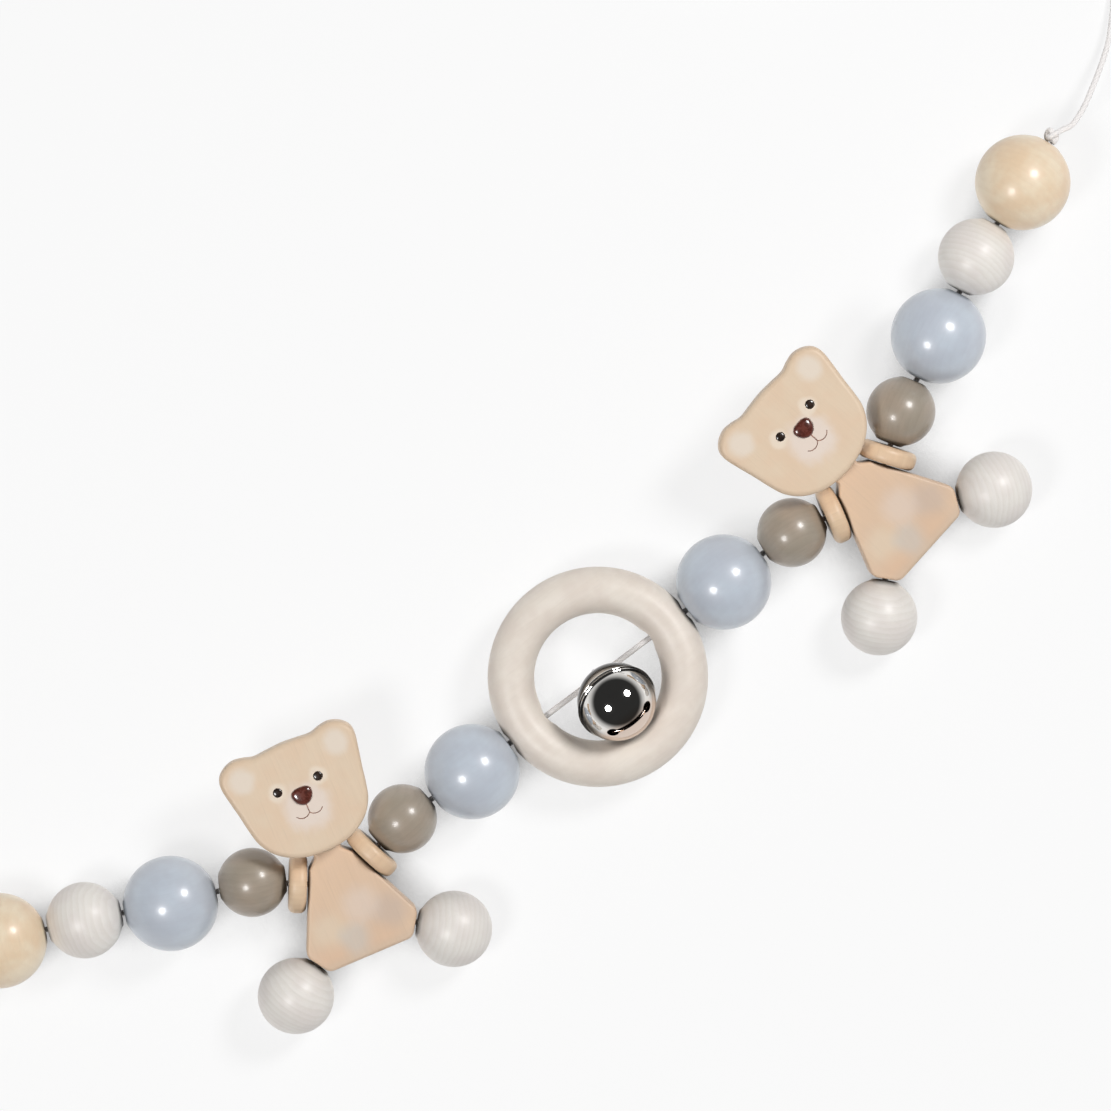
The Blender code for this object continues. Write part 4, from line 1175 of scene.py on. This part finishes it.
class CHAIN_OT_cords(bpy.types.Operator):
    """Threads the braided elastic through ring, beads and bears, and ties its knots"""

    bl_idname = "chain.cords"
    bl_label = "Strung cords"

    def execute(self, context):
        ring_ends = [joint_place(f"{side}_inner_blue_bend") for side in ("left", "right")]
        self.cord("ring_cord", ring_ends)
        links = (
            ("inner_blue", "inner_blue_bend", "bear_flip"),
            ("inner_grey", "bear_flip", "bear_bend"),
            ("outer_grey", "outer_grey_bend", "flip_return"),
            ("outer_blue", "flip_return", "white_bend"),
            ("white", "white_bend", "natural_bend"),
        )
        for side in ("right", "left"):
            for name, start, end in links:
                stops = (start, f"{name}_bead_spin", end)
                self.cord(f"{side}_{name}_cord", [joint_place(f"{side}_{stop}") for stop in stops])
            self.bear_cords(side)
            self.knotted(side)
        return {"FINISHED"}

    def cord(self, node, line):
        line = smooth_through(line, 8)
        stand_for(braided(f"braided_{node}", line, sizes().cord / 2), node)

    def bear_cords(self, side):
        """The cord down and up through a body from arm to arm, and the one between its feet."""
        place = bear_frame(side)
        wall_room, arm_run, foot_run, end_run, body_run = 0.0003, 0.0037, 0.0083, 0.0010, 0.0018
        slack = sizes().bore / 2 - sizes().cord / 2 - wall_room
        gates = [joint_place(f"{side}_{name}") for name in ("bear_bend", "outer_grey_bend")]
        gates = sorted((place.inverted() @ gate for gate in gates), key=lambda gate: gate.x)
        bottom = Vector((0, -arm_point[0] * math.tan(arm_slant) + slack, 0))
        right = [self.along(arm_point, arm_way, run) for run in (0, -arm_run)]
        line = [gates[0], *self.opposite(right), bottom, *reversed(right), gates[1]]
        self.cord(f"{side}_bear_cord", [place @ point for point in line])

        top = Vector((0, leg_point[0] * math.tan(leg_slant) + leg_point[1] - slack, 0))
        runs = (foot_run + end_run, foot_run, -body_run)
        right = [self.along(leg_point, leg_way, run) for run in runs]
        line = [*self.opposite(right), top, *reversed(right)]
        self.cord(f"{side}_leg_cord", [place @ point for point in line])

    def along(self, point, way, run):
        return Vector((*point, 0)) + Vector((*way, 0)) * run

    def opposite(self, points):
        return [Vector((-point.x, point.y, 0)) for point in points]

    def knotted(self, side):
        """The last stretch through the end bead, with a small tight overhand knot outside it."""
        start = joint_place(f"{side}_natural_bend")
        knot = joint_place(f"{side}_end_swing")
        leave = Vector(end_routes[side][0])
        over = frame_along(knot, knot - start, leave)
        # The knot's size and thickness, how far it sits on the bead's edge, and its turns:
        # where they start, how much of the whole round they take, and in how many steps
        size, depth, sunk = 0.00041, 0.00092, 0.00062
        start_angle, taken, steps = math.radians(200), 0.93, 15
        turns = []
        for step in range(steps + 1):
            t = start_angle + 2 * math.pi * step / steps * taken
            x, y = math.sin(t) + 2 * math.sin(2 * t), math.cos(t) - 2 * math.cos(2 * t)
            turns.append(over @ Vector((x * size, y * size, -math.sin(3 * t) * depth - sunk)))
        straight = [start.lerp(knot, share) for share in (0, 0.3, 0.6, 0.9)]
        line = smooth_through([*straight, *turns, knot + leave], 6)
        pulled_thin = 0.97
        piece = braided(f"braided_{side}_natural_cord", line, sizes().cord / 2 * pulled_thin)
        stand_for(piece, f"{side}_natural_cord")


class CHAIN_OT_clips(bpy.types.Operator):
    """Moulds the two clips on the chain's ends, with their pins and springs"""

    bl_idname = "chain.clips"
    bl_label = "Clips"

    def execute(self, context):
        for side in ("right", "left"):
            place = clip_frame(side)
            upright = Matrix.Rotation(math.pi / 2, 4, "X")
            across = place @ Matrix.Translation(clip_pivot) @ upright
            self.lower_jaw(side, place, place @ upright, across)
            self.upper_jaw(side, place @ upright, across)
            self.pin(side, across)
            self.spring(side, place)
        return {"FINISHED"}

    def moulding(self, node, outline, half, place):
        verts, faces = plate(outline, -half, half, 0.0004, 4)
        return shape(f"moulded_{node}", verts, faces, "plastic", place)

    def finish_jaw(self, jaw, node, across):
        """Bores a jaw for its pin."""
        cut_away(jaw, "clip_pin_hole", *drill_shape(0.0015, -pin_hole_half, pin_hole_half), across)
        stand_for(even_normals(jaw, 35), node)

    def lower_jaw(self, side, place, upright, across):
        """A flat base with a lip at its tip, two ears for the pin, and a channel between them."""
        node = f"{side}_clip_lower_jaw"
        ears = arc(0.003, math.radians(-15), math.radians(195), 20, clip_pivot[::2])
        tip = [(0, 0), (0.038, 0), (0.038, 0.0032), (0.035, 0.0032), (0.0344, 0.0026)]
        outline = [*tip, (0.0228, 0.0026), *ears, (0.0132, 0.0026), (0, 0.0026)]
        jaw = self.moulding(node, outline, 0.007, upright)
        start, end, half = 0.0115, 0.0245, 0.005
        corners = ((start, -half), (end, -half), (end, half), (start, half))
        channel = filleted([(x, y, 0.0003) for x, y in corners], 3)
        cut_away(jaw, "clip_channel", *plate(channel, 0.0022, 0.0120, 0, 1), place)
        self.finish_jaw(jaw, node, across)

    def upper_jaw(self, side, upright, across):
        """A lever over the pin, its thumb end ribbed by five small grooves."""
        node = f"{side}_clip_upper_jaw"
        tip = [(0.0350, 0.0035), (0.0380, 0.0035), (0.0380, 0.0055)]
        shoulder, thumb_end = Vector((0.0156, 0.0098)), Vector((0.0005, 0.0122))
        grooves = []
        for step in range(5):
            along = 0.0128 - step * 0.0021
            share = (shoulder.x - along) / (shoulder.x - thumb_end.x)
            level = shoulder.y + (thumb_end.y - shoulder.y) * share
            grooves += [(along, level), (along - 0.0004, level - 0.0004)]
            grooves += [(along - 0.0009, level - 0.0003), (along - 0.0013, level + 0.0002)]
        under = [(0.0005, 0.0102), (0.0132, 0.0076), (0.0156, 0.0044), (0.0204, 0.0044)]
        outline = [*tip, (0.0228, 0.0092), shoulder, *grooves, thumb_end, *under]
        self.finish_jaw(self.moulding(node, outline, 0.0047, upright), node, across)

    def pin(self, side, across):
        """A straight pin with softly domed ends."""
        dome = [(0.0012, pin_half - 0.0003), (0.0011, pin_half - 0.0001), (0.0008, pin_half)]
        dome.append((0, pin_half))
        verts, faces = turned(turned_over(dome) + dome, 32)
        stand_for(shape(f"{side}_pin", verts, faces, "steel", across), f"{side}_clip_pin")

    def spring(self, side, place):
        """A coil between the jaws, its end turns nearly closed."""
        node = f"{side}_clip_spring"
        low, high = extent(node, place)
        wire, coils, steps, even_share = 0.0003, 4, 36, 0.06
        middle = (low.x + high.x) / 2
        radius = (high.x - low.x) / 2 - wire
        points = []
        for step in range(coils * steps + 1):
            turns = step / steps
            share = min(1, max(0, (turns - 0.5) / (coils - 1)))
            share = share * (1 - even_share) + even_share * turns / coils
            angle = 2 * math.pi * turns
            level = low.z + wire + (high.z - low.z - 2 * wire) * share
            points.append(Vector((middle + radius * math.cos(angle), radius * math.sin(angle), level)))
        verts, faces, _ = swept(points, wire, 10)
        coil = stand_for(shape(f"{side}_coil", verts, faces, "steel", place), node)
        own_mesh(coil)


class CHAIN_OT_end_cords(bpy.types.Operator):
    """Lays the free end cords from their knots to the clips"""

    bl_idname = "chain.end_cords"
    bl_label = "End cords"

    def execute(self, context):
        radius = sizes().cord / 2
        for side, route in end_routes.items():
            knot = joint_place(f"{side}_end_swing")
            line = []
            for offset in evenly(smooth_through(route, 6), 0.0005):
                offset.z = max(offset.z, radius - knot_height)
                line.append(knot + offset)
            cord = braided(f"braided_{side}_end_cord", line, radius)
            stand_for(cord, f"{side}_end_cord")
        return {"FINISHED"}


class CHAIN_OT_studio(bpy.types.Operator):
    """Sets up the pale floor, the soft lights, the walls and the camera"""

    bl_idname = "chain.studio"
    bl_label = "Studio"

    def execute(self, context):
        self.floor()
        self.room(context)
        middle = joint_place("ring_turn")
        self.lamp("key light", middle, 40, 40, context.scene.chain_studio.key)
        self.lamp("fill light", middle, 31, 218, context.scene.chain_studio.fill)
        self.camera(context, middle)
        context.scene.view_settings.view_transform = "Standard"
        return {"FINISHED"}

    def floor(self):
        """A pale floor that the camera and the gloss see near white, but for soft shadows: real ones in its lit
        share, and a painted contact shadow that dims its glow under the toy.
        """
        half, sink, glow_share = 2, 0.00002, 0.8
        corners = [(-half, -half, 0), (half, -half, 0), (half, half, 0), (-half, half, 0)]
        floor = new_object("floor", corners, [(0, 1, 2, 3)])
        floor.location.z = -sink
        values = {"Roughness": 0.9, "Specular IOR Level": 0.0}
        material, tree, shader, place = new_material("floor", values)
        tone = mixed(tree, noise(tree, place, 3.0), shade((1, 1, 1), 0.90), shade((1, 1, 1), 0.92))
        tree.links.new(tone, shader.inputs["Base Color"])
        # Painted contact shadow: the glow is dimmed where the toy closes over the floor
        open_floor = ranged(tree, creases(tree, 0.014, 12), 0.24, 0.52)
        glow = mixed(tree, open_floor, shade((1, 1, 1), 0.10), shade((1, 1, 1), 0.985))
        glow = add_node(tree, "ShaderNodeEmission", {"Color": glow})
        rays = add_node(tree, "ShaderNodeLightPath").outputs
        seen = maths(tree, "MAXIMUM", rays["Is Camera Ray"], rays["Is Glossy Ray"])
        seen = maths(tree, "MAXIMUM", seen, rays["Is Transmission Ray"])
        share = maths(tree, "MULTIPLY", seen, glow_share)
        inputs = {0: share, 1: shader.outputs[0], 2: glow.outputs[0]}
        blend = add_node(tree, "ShaderNodeMixShader", inputs).outputs[0]
        tree.links.new(blend, tree.nodes["Material Output"].inputs["Surface"])
        floor.data.materials.append(material)

    def room(self, context):
        """A dim ceiling over pale walls. The camera sees near white past the floor."""
        studio = context.scene.chain_studio
        wall_top, backdrop = 0.38, 0.955
        world = bpy.data.worlds.new("studio")
        world.use_nodes = True
        tree = world.node_tree
        back = tree.nodes["Background"]
        way = add_node(tree, "ShaderNodeTexCoord").outputs["Generated"]
        height = add_node(tree, "ShaderNodeSeparateXYZ", {0: way}).outputs["Z"]
        level = ranged(tree, height, 0.0, wall_top, studio.walls, studio.ceiling)
        seen = add_node(tree, "ShaderNodeLightPath").outputs["Is Camera Ray"]
        level = add_node(tree, "ShaderNodeMix", {0: seen, 2: level, 3: backdrop}).outputs[0]
        tree.links.new(level, back.inputs["Strength"])
        back.inputs["Color"].default_value = (1, 1, 1, 1)
        context.scene.world = world

    def lamp(self, name, middle, off, heading, power):
        """A round soft lamp so many degrees off the vertical."""
        size, distance = 0.26, 0.9
        off, heading = math.radians(off), math.radians(heading)
        x, y = math.sin(off) * math.cos(heading), math.sin(off) * math.sin(heading)
        way = Vector((x, y, math.cos(off)))
        light = bpy.data.lights.new(name, "AREA")
        light.shape = "DISK"
        light.size = size
        light.energy = power
        lamp = bpy.data.objects.new(name, light)
        bpy.context.scene.collection.objects.link(lamp)
        lamp.matrix_world = frame_along(middle + way * distance, way)

    def camera(self, context, middle):
        """Straight above, at the photograph's scale and framing.

        Pixel is a pixel's width on the toy. The ring's middle is across and down from the
        frame's middle, in pixels.
        """
        pixel, across, down = 0.0002091, 42.4, 121.3
        height, frame_side, sensor = 3.0, 1111, 36
        camera = bpy.data.cameras.new("camera")
        camera.sensor_width = sensor
        camera.lens = sensor * height / (frame_side * pixel)
        camera.clip_start = 0.01
        camera.clip_end = 20
        view = bpy.data.objects.new("camera", camera)
        context.scene.collection.objects.link(view)
        view.location = middle + Vector((-across * pixel, down * pixel, height))
        context.scene.camera = view


class CHAIN_PT_panel(bpy.types.Panel):
    """Lists the pieces of the toy and their settings"""

    bl_idname = "CHAIN_PT_panel"
    bl_label = "Pram chain"
    bl_space_type = "VIEW_3D"
    bl_region_type = "UI"
    bl_category = "Pram chain"

    def draw(self, context):
        layout = self.layout
        for operator in operators:
            layout.operator(operator.bl_idname)
        for group in groups:
            box = layout.box()
            values = getattr(context.scene, group)
            for name in values.__annotations__:
                box.prop(values, name)


operators = [
    CHAIN_OT_cords,
    CHAIN_OT_clips,
    CHAIN_OT_end_cords,
    CHAIN_OT_beads,
    CHAIN_OT_ring,
    CHAIN_OT_bell,
    CHAIN_OT_bears,
    CHAIN_OT_studio,
]
groups = {
    "chain_colours": ChainColours,
    "chain_sizes": ChainSizes,
    "chain_studio": ChainStudio,
}


def register():
    for name, group in groups.items():
        bpy.utils.register_class(group)
        setattr(bpy.types.Scene, name, PointerProperty(type=group))
    for kind in (*operators, CHAIN_PT_panel):
        bpy.utils.register_class(kind)


def unregister():
    for kind in (CHAIN_PT_panel, *reversed(operators)):
        bpy.utils.unregister_class(kind)
    for name, group in groups.items():
        delattr(bpy.types.Scene, name)
        bpy.utils.unregister_class(group)


def main():
    register()
    for operator in operators:
        area, name = operator.bl_idname.split(".")
        getattr(getattr(bpy.ops, area), name)()


if __name__ == "__main__":
    main()
